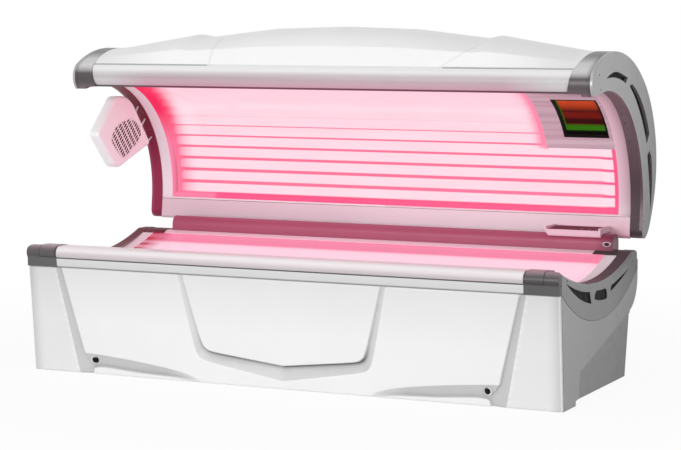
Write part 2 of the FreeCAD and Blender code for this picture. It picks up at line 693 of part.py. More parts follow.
def bench_lamp_places():
    """Centres of the bench lamps, on an arc under the acrylic."""
    radius = BENCH_R + ACRYLIC + LAMP_DROP + LAMP_R
    pitch = math.degrees(LAMP_PITCH / radius)
    middle = bench_angle((BENCH_FRONT + BENCH_BACK) / 2)
    first = middle - pitch * (BENCH_LAMPS - 1) / 2
    return [polar(BENCH_CENTRE, radius, first + pitch * step) for step in range(BENCH_LAMPS)]


def bench_lamps():
    solids = []
    for y, z in bench_lamp_places():
        solids += lamp(y, z, -HOLDER_X, HOLDER_X)
    return Part.Compound(solids)


def bench_reflector():
    radius = BENCH_R + ACRYLIC + LAMP_DROP + 2 * LAMP_R + REFLECTOR_GAP
    return bench_sheet(radius, radius + REFLECTOR_T, FRAME_FRONT + TUBE + 2, BENCH_BACK - 8,
                       -HOLDER_X, HOLDER_X)


def bench_lamp_holder():
    """Right lamp holder plate: it stands on the frame and carries lamps and acrylic."""
    radius = BENCH_R + ACRYLIC + SEAT_GAP
    low, high = BENCH_FRONT + 22, BENCH_BACK - 22
    wire = outline(
        polar(BENCH_CENTRE, radius, bench_angle(low, radius)),
        (polar(BENCH_CENTRE, radius, bench_angle((low + high) / 2, radius)),
         polar(BENCH_CENTRE, radius, bench_angle(high, radius))),
        (high, DECK_Z + 20), (FRAME_REAR - TUBE, DECK_Z), (FRAME_FRONT + TUBE, DECK_Z),
        (low, DECK_Z + 10))
    return prism(wire, HOLDER_X, HOLDER_X + HOLDER_T)


# ---- frame and machinery -------------------------------------------------------------------
def base_frame():
    """Welded steel frame: long tubes, four upright stations, rear head tube, gear tray and the
    ears that hold the torsion bars."""
    t = TUBE
    end = STATIONS[-1] + t / 2
    low = (FRAME_Z, FRAME_Z + t)
    top = FRAME_Z + t
    front = (FRAME_FRONT, FRAME_FRONT + t)
    rear = (FRAME_REAR - t, FRAME_REAR)
    parts = [tube((-end, end), front, low, 0), tube((-end, end), rear, low, 0)]
    for x in STATIONS:
        span = (x - t / 2, x + t / 2)
        between = (front[1], rear[0])
        parts.append(tube(span, between, low, 1))
        parts.append(tube(span, between, (DECK_Z - t, DECK_Z), 1))
        parts.append(tube(span, front, (top, RAIL_BOTTOM - t - 2 * SEAT_GAP), 2))
        parts.append(tube(span, rear, (top, DECK_Z), 2))
        parts.append(tube(span, (rear[1], HEAD_Y - t), (DECK_Z - t, DECK_Z), 1))
        parts.append(tube(span, (HEAD_Y - t, HEAD_Y), (DECK_Z - 5, HEAD_Z - t), 2))
    head_end = CORNER_PLATE_X + 60
    parts.append(tube((-head_end, head_end), (HEAD_Y - t, HEAD_Y), (HEAD_Z - t, HEAD_Z), 0))
    parts.append(tube((-end, end), (FRAME_FRONT - 30, FRAME_FRONT - 30 + t),
                      (RAIL_BOTTOM - t - 2 * SEAT_GAP, RAIL_BOTTOM - 2 * SEAT_GAP), 0))
    parts.append(box((-end, end), (front[1], rear[0]), (top, top + TRAY_T)))
    brackets = [lock_bracket(side) for side in (-1, 1)]
    return Part.Compound(parts + hinge_ears() + brackets)


def hinge_ears():
    """Plates welded to the head tube, bored for the torsion bars."""
    neck = outline((HINGE_Y - EAR_R, HEAD_Z), (HINGE_Y + EAR_R, HEAD_Z),
                   (HINGE_Y + EAR_R, HINGE_Z), (HINGE_Y - EAR_R, HINGE_Z))
    spots = [(-EAR_T * 1.5, EAR_T * 1.5)]
    for side in (-1, 1):
        for gap in (-1, 1):
            near = side * ARM_X + gap * (ARM_T / 2 + ARM_GAP)
            far = near + gap * EAR_T
            spots.append((min(near, far), max(near, far)))
    ears = []
    for low, high in spots:
        ear = prism(neck, low, high).fuse(
            rod((low, HINGE_Y, HINGE_Z), (1, 0, 0), EAR_R, high - low))
        if low * high > 0:
            ear = ear.cut(rod((low - 1, HINGE_Y, HINGE_Z), (1, 0, 0), BAR_R + BAR_FIT,
                              high - low + 2))
        ears.append(ear.removeSplitter())
    return ears


def torsion_bars():
    """Two bars on the hinge line, held at the middle ear and carrying the canopy arms."""
    inner = EAR_T * 1.5
    outer = ARM_X + ARM_T / 2 + ARM_GAP + EAR_T + 6
    bar = rod((inner, HINGE_Y, HINGE_Z), (1, 0, 0), BAR_R, outer - inner)
    return both_ends(bar)


def trunk_outline(radius, wall):
    """Rounded front of the hinge cover, open at its rear, on a foot that rests on the ledge."""
    y, z = HINGE_Y, HINGE_Z
    low = LEDGE_Z + SEAT_GAP
    foot = LEDGE_BACK - 2
    hinge = (y, z)
    return outline(
        (y - radius, low), (y - radius, z),
        (polar(hinge, radius, 134.0), polar(hinge, radius, 88.0)),
        polar(hinge, radius - wall, 88.0),
        (polar(hinge, radius - wall, 134.0), (y - radius + wall, z)),
        (y - radius + wall, low + wall), (foot, low + wall), (foot, low))


def trunk_cheek(radius, x_low, x_high):
    """End cheek of the hinge cover."""
    y, z = HINGE_Y, HINGE_Z
    low = LEDGE_Z + SEAT_GAP
    hinge = (y, z)
    wire = outline(
        (y - radius, low), (y - radius, z),
        (polar(hinge, radius, 90.0), (y + radius, z)),
        (y + radius, low))
    return prism(wire, x_low, x_high)


def trunk_cover():
    """Dark cover in front of the hinge line, with end cheeks and a thicker right end."""
    t = TRUNK_T
    pieces = [
        prism(trunk_outline(TRUNK_R, t), -TRUNK_LEFT, TRUNK_RIGHT),
        prism(trunk_outline(TOWER_R, TOWER_R - TRUNK_R + t), TOWER_X, TRUNK_RIGHT),
        trunk_cheek(TRUNK_R, -TRUNK_LEFT, -TRUNK_LEFT + t),
        trunk_cheek(TOWER_R, TRUNK_RIGHT - t, TRUNK_RIGHT),
    ]
    cover = fused(pieces)
    socket = rod(((TOWER_X + TRUNK_RIGHT) / 2, HINGE_Y - TOWER_R - 1, HINGE_Z), (0, 1, 0),
                 SOCKET_R, TOWER_R)
    return cover.cut(socket)


def levelling_feet():
    feet = []
    for x in STATIONS:
        for y in (FRAME_FRONT + TUBE / 2, FRAME_REAR - TUBE / 2):
            pad = rod((x, y, 0), (0, 0, 1), FOOT_R, FOOT_T)
            stud = rod((x, y, FOOT_T), (0, 0, 1), STUD_R, FRAME_Z - FOOT_T)
            feet.append(pad.fuse(stud))
    return Part.Compound(feet)


def ballasts():
    """Ballast packs in two rows on the gear tray."""
    z = FRAME_Z + TUBE + TRAY_T
    packs = []
    reach = STRIP_X - 200.0
    for column in range(6):
        x = reach * (2 * column / 5 - 1)
        for y in (120.0, 320.0):
            packs.append(box((x - 110, x + 110), (y, y + 80), (z, z + 62)))
    return Part.Compound(packs)


def control_box():
    """Electronics housing on the gear tray, with a raised lid."""
    z = FRAME_Z + TUBE + TRAY_T
    case = box((-160, 160), (450, 620), (z, z + 80))
    lid = box((-150, 150), (460, 610), (z + 80, z + 86))
    return fused([case, lid])


def fan_housing(centre, size, depth, radius, axis):
    """Square fan frame with three spokes, a motor and its shaft. It is built along X and
    turned to axis 'x' or 'y'."""
    half = size / 2
    frame = box((0, depth), (-half, half), (-half, half))
    frame = frame.cut(rod((-1, 0, 0), (1, 0, 0), radius + FAN_TIP_GAP, depth + 2))
    motor = rod((0, 0, 0), (1, 0, 0), radius * 0.36, depth * 0.3)
    pieces = [frame, motor, rod((0, 0, 0), (1, 0, 0), SHAFT_R, depth - 4)]
    for turn in range(3):
        spoke = box((0, 5), (-4, 4), (0, radius + FAN_TIP_GAP + 3))
        spoke.rotate(vector(0, 0, 0), vector(1, 0, 0), 120 * turn + 30)
        pieces.append(spoke)
    whole = fused(pieces)
    if axis == "y":
        whole.rotate(vector(0, 0, 0), vector(0, 0, 1), 90)
    whole.translate(vector(*centre))
    return whole


def fan_rotor(centre, depth, radius, axis):
    """Fan wheel: hub with a bore for the shaft, and pitched blades."""
    start = depth * 0.3 + 1.5
    length = depth - start - 3
    hub = rod((start, 0, 0), (1, 0, 0), radius * 0.36, length)
    wheel = [hub]
    for turn in range(BLADES):
        blade = box((-1.2, 1.2), (-radius * 0.24, radius * 0.24), (radius * 0.3, radius - 1))
        blade.rotate(vector(0, 0, 0), vector(0, 0, 1), 55)
        blade.translate(vector(start + length / 2, 0, 0))
        blade.rotate(vector(0, 0, 0), vector(1, 0, 0), 360.0 * turn / BLADES)
        wheel.append(blade)
    whole = fused(wheel).common(rod((start, 0, 0), (1, 0, 0), radius, length))
    whole = whole.cut(rod((0, 0, 0), (1, 0, 0), SHAFT_R + SHAFT_FIT, depth))
    if axis == "y":
        whole.rotate(vector(0, 0, 0), vector(0, 0, 1), 90)
    whole.translate(vector(*centre))
    return whole


def base_fan_place(side):
    return (side * FAN_X, FRAME_REAR - 36, FRAME_Z + TUBE + FAN_SIZE / 2)


def base_fan_housings():
    return Part.Compound([fan_housing(base_fan_place(side), FAN_SIZE, FAN_DEPTH, FAN_R, "y")
                          for side in (-1, 1)])


def base_screws():
    screws = []
    for y, z in TRIM_SCREWS + ((-30.0, 453.0),):
        screw = rod((HALF - 6, y, z), (1, 0, 0), SCREW_R, 5.2)
        recess = rod((HALF - 1.8, y, z), (1, 0, 0), 1.8, 2)
        screws.append(screw.cut(recess))
    return Part.Compound(screws + [mirrored(screw) for screw in screws])


# ---- canopy outlines -----------------------------------------------------------------------
ARC = (ARC_Y, ARC_Z)
CORE = (620.0, 880.0)      # walls are offset towards this point


def inward(point, wall, core=CORE):
    away = math.hypot(core[0] - point[0], core[1] - point[1])
    return (point[0] + wall * (core[0] - point[0]) / away,
            point[1] + wall * (core[1] - point[1]) / away)


def bearing(start, end):
    return math.degrees(math.atan2(end[1] - start[1], end[0] - start[0]))


def smooth_run(start, heading, ends):
    """Arcs through the ends, each tangent to the one before it."""
    steps = []
    for end in ends:
        chord = bearing(start, end)
        bulge = math.hypot(end[0] - start[0], end[1] - start[1]) / 2
        bulge *= math.tan(math.radians(chord - heading) / 2)
        middle = ((start[0] + end[0]) / 2 + bulge * math.sin(math.radians(chord)),
                  (start[1] + end[1]) / 2 - bulge * math.cos(math.radians(chord)))
        steps.append((middle, end))
        heading = 2 * chord - heading
        start = end
    return steps


def back_ends(crest):
    """Points of the outer profile from the crest down the back to the bottom edge."""
    rise = crest - CREST_END
    return [(CREST_Y, crest), (930.0, 1138.0 + 0.6 * rise), (1083.0, 922.0), BACK_LOW, HEEL,
            (966.0, CANOPY_BOTTOM)]


def crown_height(y):
    """Height of the end plates' crown, an arc from the brow that is level at the crest."""
    rise = CREST_END - BROW[1]
    radius = ((CREST_Y - BROW[0]) ** 2 + rise ** 2) / (2 * rise)
    return CREST_END - radius + math.sqrt(radius ** 2 - (CREST_Y - y) ** 2)


def shell_section(crest, wall):
    """Closed section of the canopy shell: front facet, crease, crest, back and heel."""
    height = CREASE_SHARE * (crest - GROOVE[1])
    crease = (GROOVE[0] + CREASE_SLOPE * height, GROOVE[1] + height)
    if crest == CREST_END:
        crease = (CREASE_END_Y, crown_height(CREASE_END_Y))
    heading = 2 * bearing(crease, (CREST_Y, crest))
    steps = [crease] + smooth_run(crease, heading, back_ends(crest))
    inner = [inward(GROOVE, wall), inward(crease, wall)]
    inner += [(inward(middle, wall), inward(end, wall)) for middle, end in steps[1:]]
    back = []
    for index in range(len(inner) - 1, 1, -1):
        before = inner[index - 1]
        end = before[1] if isinstance(before[0], tuple) else before
        back.append((inner[index][0], end))
    return outline(GROOVE, *steps, inner[-1][1], *back, inner[0])


def inner_edge(radius):
    """Inner edge of the C from the bottom, round the lower corner and up to the tip's level."""
    low = polar(ARC, radius, ARC_LOW)
    high = polar(ARC, radius, ARC_HIGH)
    middle = polar(ARC, radius, (ARC_LOW + ARC_HIGH) / 2)
    shift = radius - ARC_R
    corner = ((CORNER_MID[0] + shift * 0.8, CORNER_MID[1] + shift * 0.6),
              (CORNER_TOP[0] + shift, CORNER_TOP[1]))
    return [(CORNER_FOOT_Y, CANOPY_BOTTOM + shift + RIM_T), corner, low, (middle, high)]


def arc_sheet(r_low, r_high, a_low, x_low, x_high, flat_to):
    """Curved sheet from polar angle a_low, running flat from ARC_HIGH towards the lip."""
    middle = (a_low + ARC_HIGH) / 2
    low_end, high_end = polar(ARC, r_low, ARC_HIGH), polar(ARC, r_high, ARC_HIGH)
    lip = polar(ARC, ARC_R, ARC_HIGH)
    slope = (lip[1] - TIP[1]) / (lip[0] - TIP[0])
    drop = (low_end[0] - flat_to) * slope
    wire = outline(
        polar(ARC, r_low, a_low), (polar(ARC, r_low, middle), low_end),
        (flat_to, low_end[1] - drop), (flat_to, high_end[1] - drop),
        high_end, (polar(ARC, r_high, middle), polar(ARC, r_high, a_low)))
    return prism(wire, x_low, x_high)


def canopy_shell():
    """Lofted shell with a raised centre and lower wings; the corner caps replace it at the
    front ends."""
    right = ((PLATE_X, CREST_END), (CORNER_X, CREST_END), (WING_X, CREST_WING),
             (VALLEY_X, CREST_VALLEY), (SHOULDER_X, CREST_SHOULDER))
    stations = ([(-x, crest) for x, crest in right] + [(0.0, CREST_CENTRE)]
                + [(x, crest) for x, crest in reversed(right)])
    wires = []
    for x, crest in stations:
        wire = shell_section(crest, WALL)
        wire.translate(vector(x, 0, 0))
        wires.append(wire)
    shell = Part.makeLoft(wires, True, True)
    beyond = cap_wedge(0.0)
    return shell.cut(beyond).cut(mirrored(beyond))


def cap_wedge(gap):
    """Space beyond the slanting joint of the right corner cap."""
    low, high = TIP[1] - 5, CREST_CENTRE + 9
    corners = [(CORNER_X + gap + CAP_SLANT * (z - RAIL_LOW), z) for z in (low, high)]
    corners += [(HALF + 9, high), (HALF + 9, low), corners[0]]
    face = Part.Face(Part.makePolygon([vector(x, 0, z) for x, z in corners]))
    return face.extrude(vector(0, CORNER_BACK, 0))


def lip_rail():
    """Rounded hollow rail along the canopy's front edge."""
    wire = outline((324.0, RAIL_LOW), ((301.5 + 1.0, 1150.0), (334.0, GROOVE[1] - 3)),
                   (LIP_BACK, GROOVE[1] - 3), (LIP_BACK, 1152.0), (350.0, RAIL_LOW))
    rail = hollow_prism(wire, 3.0, -PLATE_X, PLATE_X)
    beyond = cap_wedge(-SEAT_GAP)
    rail = rail.cut(beyond).cut(mirrored(beyond))
    for x in (-LIP_SCREW_X, LIP_SCREW_X):
        rail = rail.cut(rod((x, 318, 1120), (0, 1, 0), SCREW_R, 5))
    return rail


def plate_back():
    """Outer profile of an end plate, from the tip over the nose and crest to the bottom."""
    ends = [BROW] + back_ends(CREST_END)
    heading = 2 * bearing(TIP, BROW) - 2 * bearing(BROW, ends[1])
    return smooth_run(TIP, heading, ends)


def plate_wire(radius):
    """C outline of an end plate whose inner edge has the given radius."""
    start, *edge = inner_edge(radius)
    return outline(start, *edge, TIP, *plate_back())


def corner_cap():
    """Right corner cap: metal-coloured band from the tip over the crest."""
    solid = prism(plate_wire(ARC_R), CORNER_X - 9, PLATE_X - SEAT_GAP)
    solid = solid.common(cap_wedge(0.0))
    core = prism(outline((345.0, 1132.0), (345.0, 1180.0), ((435.0, 1229.0), (CREST_Y, 1255.0)),
                         (CORNER_BACK + 9, 1240.0), (CORNER_BACK + 9, 900.0),
                         ((560.0, 1113.0), (445.0, 1132.0))), CORNER_X - 1, HALF)
    solid = solid.cut(core)
    step = box((CORNER_X - 1, BAND_X), (0, CORNER_BACK + 9), (1000, RAIL_LOW))
    inside = box((CORNER_X - 1, BAND_X + SEAT_GAP), (GROOVE[0], CORNER_BACK + 9),
                 (1000, RAIL_LOW + 30))
    solid = solid.cut(step).cut(inside)
    return max(solid.Solids, key=lambda piece: piece.Volume)


PLATE_VENTS = (
    ((452.0, 1163.0), ((540.0, 1185.0), (619.0, 1180.0)), (710.0, 1161.0), (686.0, 1139.0),
     ((570.0, 1163.0), (452.0, 1163.0))),
    ((733.0, 1128.0), (762.0, 1136.0), ((900.0, 1056.0), (996.0, 935.0)), (962.0, 897.0),
     ((860.0, 1032.0), (733.0, 1128.0))),
    ((973.0, 852.0), (999.0, 869.0), (1027.0, 844.0), ((1040.0, 738.0), (1020.0, 628.0)),
     ((1002.0, 745.0), (973.0, 852.0))),
)
PLATE_SCREWS = ((370.0, 1178.0), (388.0, 1124.0), (941.0, 596.0))
RIM_SCREWS = (52.0, 45.0, 33.0)


def end_plate():
    """Right end plate of the canopy, a rounded C with three vents."""
    plate = prism(plate_wire(ARC_R - RIM_T), PLATE_X, HALF)
    on_outside = [middle for middle, end in plate_back()]
    plate = plate.makeFillet(PLATE_ROUND, edges_through(plate, HALF, on_outside))
    for vent in PLATE_VENTS:
        plate = plate.cut(prism(outline(*vent), PLATE_X - 1, HALF + 1))
    for y, z in PLATE_SCREWS:
        plate = plate.cut(rod((HALF - 6, y, z), (1, 0, 0), SCREW_R, 7))
    return plate


def plate_grille():
    """Slotted plates behind the vents of the right end plate."""
    return [slotted_plate(vent, PLATE_X - 3, PLATE_X, 16.0, upright)
            for vent, upright in zip(PLATE_VENTS, (True, True, False))]


def rim_band():
    """Right dark lining on the inner edge of the end plate, from the lip to the bottom."""
    x_low, x_high = BAND_X, PLATE_X - SEAT_GAP
    band = arc_sheet(ARC_R - RIM_T, ARC_R, ARC_LOW, x_low, x_high, 380.0)
    face, corner, knee = inner_edge(ARC_R - RIM_T)[:3]
    back, back_corner, back_knee = inner_edge(ARC_R)[:3]
    lower = outline(face, corner, knee, back_knee, back_corner[1], (back_corner[0], back))
    band = fused([band, prism(lower, x_low, x_high)])
    for degrees in RIM_SCREWS:
        y, z = polar(ARC, ARC_R - 6, degrees)
        way = (0, math.cos(math.radians(degrees)), math.sin(math.radians(degrees)))
        band = band.cut(rod((BAND_X + 16, y, z), way, SCREW_R, 9))
    return band


def shroud_strip():
    """Right pale strip beside the canopy acrylic."""
    return arc_sheet(ARC_R, ARC_R + CANOPY_ACRYLIC, ARC_LOW, STRIP_X + SEAT_GAP,
                     BAND_X - SEAT_GAP, 376.0)


def lower_shroud():
    """Pale strip under the lit sheet, turned under to close the canopy's bottom."""
    y, z = polar(ARC, ARC_R, ARC_LOW)
    z -= 0.5
    foot = SHROUD_FOOT
    t = WALL
    wire = outline((y, z - SEAT_GAP), foot, ((foot[0] + 2, CANOPY_BOTTOM + 3),
                                             (foot[0] + 14, CANOPY_BOTTOM)),
                   (foot[0] + 16, CANOPY_BOTTOM), (foot[0] + 16, CANOPY_BOTTOM + t),
                   ((foot[0] + 6, CANOPY_BOTTOM + 6), (foot[0] + t, foot[1] + t)),
                   (y + t, z - SEAT_GAP))
    return prism(wire, -BAND_X + SEAT_GAP, BAND_X - SEAT_GAP)


def canopy_inner_shroud():
    strip = shroud_strip()
    return Part.Compound([strip, mirrored(strip), lower_shroud()])


def canopy_acrylic():
    """Clear curved sheet; it is shorter where the facial unit is."""
    r_low, r_high = ARC_R, ARC_R + CANOPY_ACRYLIC
    lower = sector(ARC, r_low, r_high, ARC_LOW, FACIAL_LOW, -STRIP_X, STRIP_X)
    upper = arc_sheet(r_low, r_high, FACIAL_LOW, -STRIP_X, FACIAL_X, 376.0)
    return fused([lower, upper])


def facial_panel():
    """Pale panel round the facial unit's window."""
    gap = math.degrees(SEAT_GAP / ARC_R)
    panel = arc_sheet(ARC_R, ARC_R + CANOPY_ACRYLIC, FACIAL_LOW + gap, FACIAL_X + SEAT_GAP,
                      STRIP_X, 376.0)
    return panel.cut(sector(ARC, ARC_R - 5, ARC_R + 20, WINDOW_ARC[0], WINDOW_ARC[1],
                            *WINDOW_X))


def window_ring(r_low, r_high, inset_low, inset_high, arc_low, arc_high):
    return sector(ARC, r_low, r_high, WINDOW_ARC[0] + arc_low, WINDOW_ARC[1] - arc_high,
                  WINDOW_X[0] + inset_low, WINDOW_X[1] - inset_high)


def facial_frame():
    """Black frame of the window, with a flange behind the panel."""
    flange = window_ring(ARC_R + CANOPY_ACRYLIC, ARC_R + CANOPY_ACRYLIC + 4, -8, -8, -1, -1)
    plug = window_ring(ARC_R + 0.5, ARC_R + CANOPY_ACRYLIC, 0.2, 0.2, 0.03, 0.03)
    hole = window_ring(ARC_R - 5, ARC_R + 30, 14, 8, 2.2, 1.2)
    rebate = window_ring(ARC_R + CANOPY_ACRYLIC, ARC_R + 30, 8, 4, 1.4, 0.8)
    return fused([flange, plug]).cut(hole).cut(rebate)


def facial_glass():
    return window_ring(ARC_R + CANOPY_ACRYLIC, ARC_R + CANOPY_ACRYLIC + 3.8, 8.2, 4.2, 1.43, 0.83)


def facial_reflector():
    """Open box behind the filter glass, with the lamp inside."""
    outer = window_ring(ARC_R + CANOPY_ACRYLIC + 4, ARC_R + 92, -6, -6, -0.8, -0.8)
    inner = window_ring(ARC_R, ARC_R + 90, -4, -4, -0.6, -0.6)
    return outer.cut(inner)


def facial_lamp():
    """High-pressure capsule lamp between two ceramic ends."""
    y, z = polar(ARC, ARC_R + 55, (WINDOW_ARC[0] + WINDOW_ARC[1]) / 2)
    low, high = WINDOW_X[0] - 4, WINDOW_X[1] + 4
    pieces = [rod((low, y, z), (1, 0, 0), 6, high - low), rod((low, y, z), (1, 0, 0), 12, 24),
              rod((high - 24, y, z), (1, 0, 0), 12, 24),
              rod((low + 60, y, z), (1, 0, 0), 11, high - low - 120)]
    return fused(pieces)


def canopy_lamp_places():
    """Centres of the canopy lamps, from the lowest to the one nearest the lip."""
    radius = ARC_R + CANOPY_ACRYLIC + LAMP_DROP + LAMP_R
    pitch = math.degrees(LAMP_PITCH / ARC_R)
    return [polar(ARC, radius, 0.15 + pitch * step) for step in range(CANOPY_LAMPS)]


def canopy_lamps():
    solids = []
    for index, (y, z) in enumerate(canopy_lamp_places()):
        end = HOLDER_X if index < LONG_LAMPS else FACIAL_X - 20
        solids += lamp(y, z, -HOLDER_X, end)
    return Part.Compound(solids)


def canopy_lamp_holders():
    """Curved holder plates at the ends of the canopy lamps."""
    low, high = ARC_R + CANOPY_ACRYLIC + SEAT_GAP, reflector_r() + REFLECTOR_T
    end = HOLDER_X + HOLDER_T
    side = FACIAL_X - 20
    return Part.Compound([
        sector(ARC, low, high, -3.4, HOLDER_HIGH, -end, -HOLDER_X),
        sector(ARC, low, high, -3.4, FACIAL_LOW - 1, HOLDER_X, end),
        sector(ARC, low, high, FACIAL_LOW + 1, HOLDER_HIGH, side, side + HOLDER_T),
    ])


def reflector_r():
    return ARC_R + CANOPY_ACRYLIC + LAMP_DROP + 2 * LAMP_R + 4


def canopy_reflector():
    r = reflector_r()
    lower = sector(ARC, r, r + REFLECTOR_T, -3.0, FACIAL_LOW, -HOLDER_X, HOLDER_X)
    upper = sector(ARC, r, r + REFLECTOR_T, FACIAL_LOW, HOLDER_HIGH, -HOLDER_X, FACIAL_X - 20)
    return fused([lower, upper])


def canopy_frame():
    """Curved ribs on a lower and a front tube, with the two hinge arms."""
    r = reflector_r() + REFLECTOR_T
    ribs = []
    for x in (-HOLDER_X - HOLDER_T, -330.0, 330.0, HOLDER_X + HOLDER_T - RIB_T):
        rib = sector(ARC, r, r + RIB_DEPTH, -3.0, 94.5, x, x + RIB_T)
        leg = prism(outline((946.0, 556.0), (968.0, 556.0), (1004.0, 604.0), (1008.0, 660.0),
                            (988.0, 660.0), (986.0, 622.0)), x, x + RIB_T)
        nose = prism(outline((397.0, 1181.0), (428.0, 1179.5), (428.0, 1212.0),
                             (397.0, 1205.0)), x, x + RIB_T)
        if x > FACIAL_X:
            bridge = sector(ARC, r + RIB_DEPTH - 6, r + 2 * RIB_DEPTH, 24.0, 75.0, x, x + RIB_T)
            recess = sector(ARC, r - 9, ARC_R + 95, WINDOW_ARC[0] - 2.5, WINDOW_ARC[1] + 2.5,
                            x - 1, x + RIB_T + 1)
            rib = rib.fuse(bridge).cut(recess)
        ribs.append(fused([rib, leg, nose]))
    end = HOLDER_X + HOLDER_T
    low_tube = tube((-end, end), (944.0, 968.0), (538.0, 562.0), 0)
    front_tube = tube((-end, end), (395.0, 421.0), (1180.0, 1206.0), 0)
    arms = []
    for side in (-1, 1):
        x = side * ARM_X
        arm = prism(outline((HINGE_Y + 3, HINGE_Z + EAR_R - 0.3), (937.0, CANOPY_BOTTOM - 2),
                            (945.0, 535.0), (945.0, 560.0), (960.0, 560.0), (960.0, 517.0),
                            (948.0, 508.0), (HINGE_Y + 4, HINGE_Z - EAR_R + 0.5)),
                    x - ARM_T / 2, x + ARM_T / 2)
        eye = rod((x - ARM_T / 2, HINGE_Y, HINGE_Z), (1, 0, 0), EAR_R, ARM_T)
        bore = rod((x - ARM_T, HINGE_Y, HINGE_Z), (1, 0, 0), BAR_R + BAR_FIT, 2 * ARM_T)
        arms.append(arm.fuse(eye).cut(bore))
    return fused(ribs + [low_tube, front_tube] + arms)


def sloped(shape):
    """A shape built level at the console's front lip, turned onto its sloping top."""
    shape.rotate(vector(0, CONSOLE_FRONT, CONSOLE_LIP), vector(1, 0, 0), CONSOLE_SLOPE)
    return shape


def console_housing():
    """Control console on the lower shroud. It reaches forward over the hinge cover and has a
    slanting left end, a sloping top let in between two rims, and wells for the keys."""
    low, high = CONSOLE_X
    back = SHROUD_FOOT[0] + 2.0
    hinge = (HINGE_Y, HINGE_Z)
    front, under = CONSOLE_FRONT, HINGE_Z + CONSOLE_REACH
    wire = outline((back, under), (HINGE_Y, under),
                   (polar(hinge, CONSOLE_REACH, 112.0), polar(hinge, CONSOLE_REACH, 134.0)),
                   (front + 8, CONSOLE_LOW),
                   ((front + 2.3, CONSOLE_LOW + 2.3), (front, CONSOLE_LOW + 8)),
                   (front, CONSOLE_TOP - 3), ((front + 1, CONSOLE_TOP - 1), (front + 3, CONSOLE_TOP)),
                   (back + 4, CONSOLE_TOP))
    body = prism(wire, low, high)
    strip = prism(outline((SHROUD_FOOT[0] - 0.1, CANOPY_BOTTOM - 5), SHROUD_FOOT,
                          polar(ARC, ARC_R, ARC_LOW), (960.0, 640.0), (960.0, 500.0)),
                  low - 1, high + 1)
    body = body.cut(strip).cut(lower_shroud())
    body = max(body.Solids, key=lambda piece: piece.Volume)
    corner = Part.makePolygon([vector(x, front - 9, z) for x, z in (
        (low, CONSOLE_LIP), (low + CONSOLE_SHEAR, CONSOLE_LOW - 1),
        (low - 9, CONSOLE_LOW - 1), (low - 9, CONSOLE_LIP), (low, CONSOLE_LIP))])
    body = body.cut(Part.Face(corner).extrude(vector(0, back - front + 18, 0)))
    body = body.cut(box((low + CONSOLE_SHEAR + WALL, high - WALL), (HINGE_Y + 20, back - 9),
                        (CONSOLE_LOW, CONSOLE_LIP - DISPLAY_T - WALL)))
    body = body.cut(sloped(box((low + CONSOLE_RIM, high - CONSOLE_RIM),
                               (front - 9, back + 9), (CONSOLE_LIP, CONSOLE_TOP + 9))))
    x_low, x_high = display_span()
    body = body.cut(sloped(box((x_low, x_high), DISPLAY_Y, (CONSOLE_LIP - DISPLAY_T,
                                                            CONSOLE_LIP + 1))))
    for x in key_places():
        body = body.cut(sloped(rod((x, KEY_Y, CONSOLE_LIP - KEY_DEPTH - 2), (0, 0, 1),
                                   KEY_R + KEY_FIT, KEY_DEPTH + 4)))
    return body


def display_span():
    return CONSOLE_X[0] + CONSOLE_RIM + 3, CONSOLE_X[1] - CONSOLE_RIM - 3


def key_places():
    return [CONSOLE_X[1] - 84 + KEY_PITCH * index for index in range(3)]


def console_display():
    """Dark panel let into the console's sloping top, pierced for the keys."""
    x_low, x_high = display_span()
    panel = box((x_low + 0.1, x_high - 0.1), (DISPLAY_Y[0] + 0.1, DISPLAY_Y[1] - 0.1),
                (CONSOLE_LIP - DISPLAY_T, CONSOLE_LIP + 0.2))
    for x in key_places():
        panel = panel.cut(rod((x, KEY_Y, CONSOLE_LIP - 9), (0, 0, 1), KEY_R + KEY_FIT, 18))
    return sloped(panel)


def console_key(index):
    """Round key: it slides in its well and stands a little proud."""
    x = key_places()[index]
    key = rod((x, KEY_Y, CONSOLE_LIP + KEY_PROUD - KEY_DEPTH), (0, 0, 1), KEY_R, KEY_DEPTH)
    top = [edge for edge in key.Edges if edge.BoundBox.ZMin > CONSOLE_LIP]
    return sloped(key.makeFillet(0.8, top))


def pod_wire():
    """Rounded four-sided outline of the air pod."""
    return outline((418.0, 900.0), (516.0, 800.0), ((556.0, 770.0), (606.0, 772.0)),
                   (808.0, 842.0), ((829.0, 856.0), (822.0, 874.0)), (706.0, 1018.0),
                   ((660.0, 1050.0), (596.0, 1060.0)), ((556.0, 1054.0), (532.0, 1034.0)),
                   (424.0, 926.0), ((416.0, 914.0), (418.0, 900.0)))


def air_pod():
    """Left air pod: a hollow lens held to the end lining by three pegs."""
    low, high = POD_X
    pod = prism(pod_wire(), -high, -low)
    rounded = [edge for edge in pod.Edges
               if abs(edge.BoundBox.XLength) < 0.01 and edge.BoundBox.XMin > -low - 0.01]
    pod = pod.makeFillet(POD_EDGE, rounded)
    inner = pod_wire().makeOffset2D(-WALL - 6)
    pod = pod.cut(prism(inner, -high + WALL, -low - 12))
    pod = pod.cut(prism(grille_wire(), -low - 14, -low + 2))
    pegs = []
    for degrees in (50.0, 40.0, 28.0):
        way = (0, math.cos(math.radians(degrees)), math.sin(math.radians(degrees)))
        y, z = polar(ARC, 400.0, degrees)
        peg = rod((-(low + high) / 2 + 4, y, z), way, 5.0, ARC_R - RIM_T - 400.05)
        pegs.append(peg.cut(prism(inner, -high, -low)))
    return fused([pod] + [max(peg.Solids, key=lambda piece: piece.Volume) for peg in pegs])


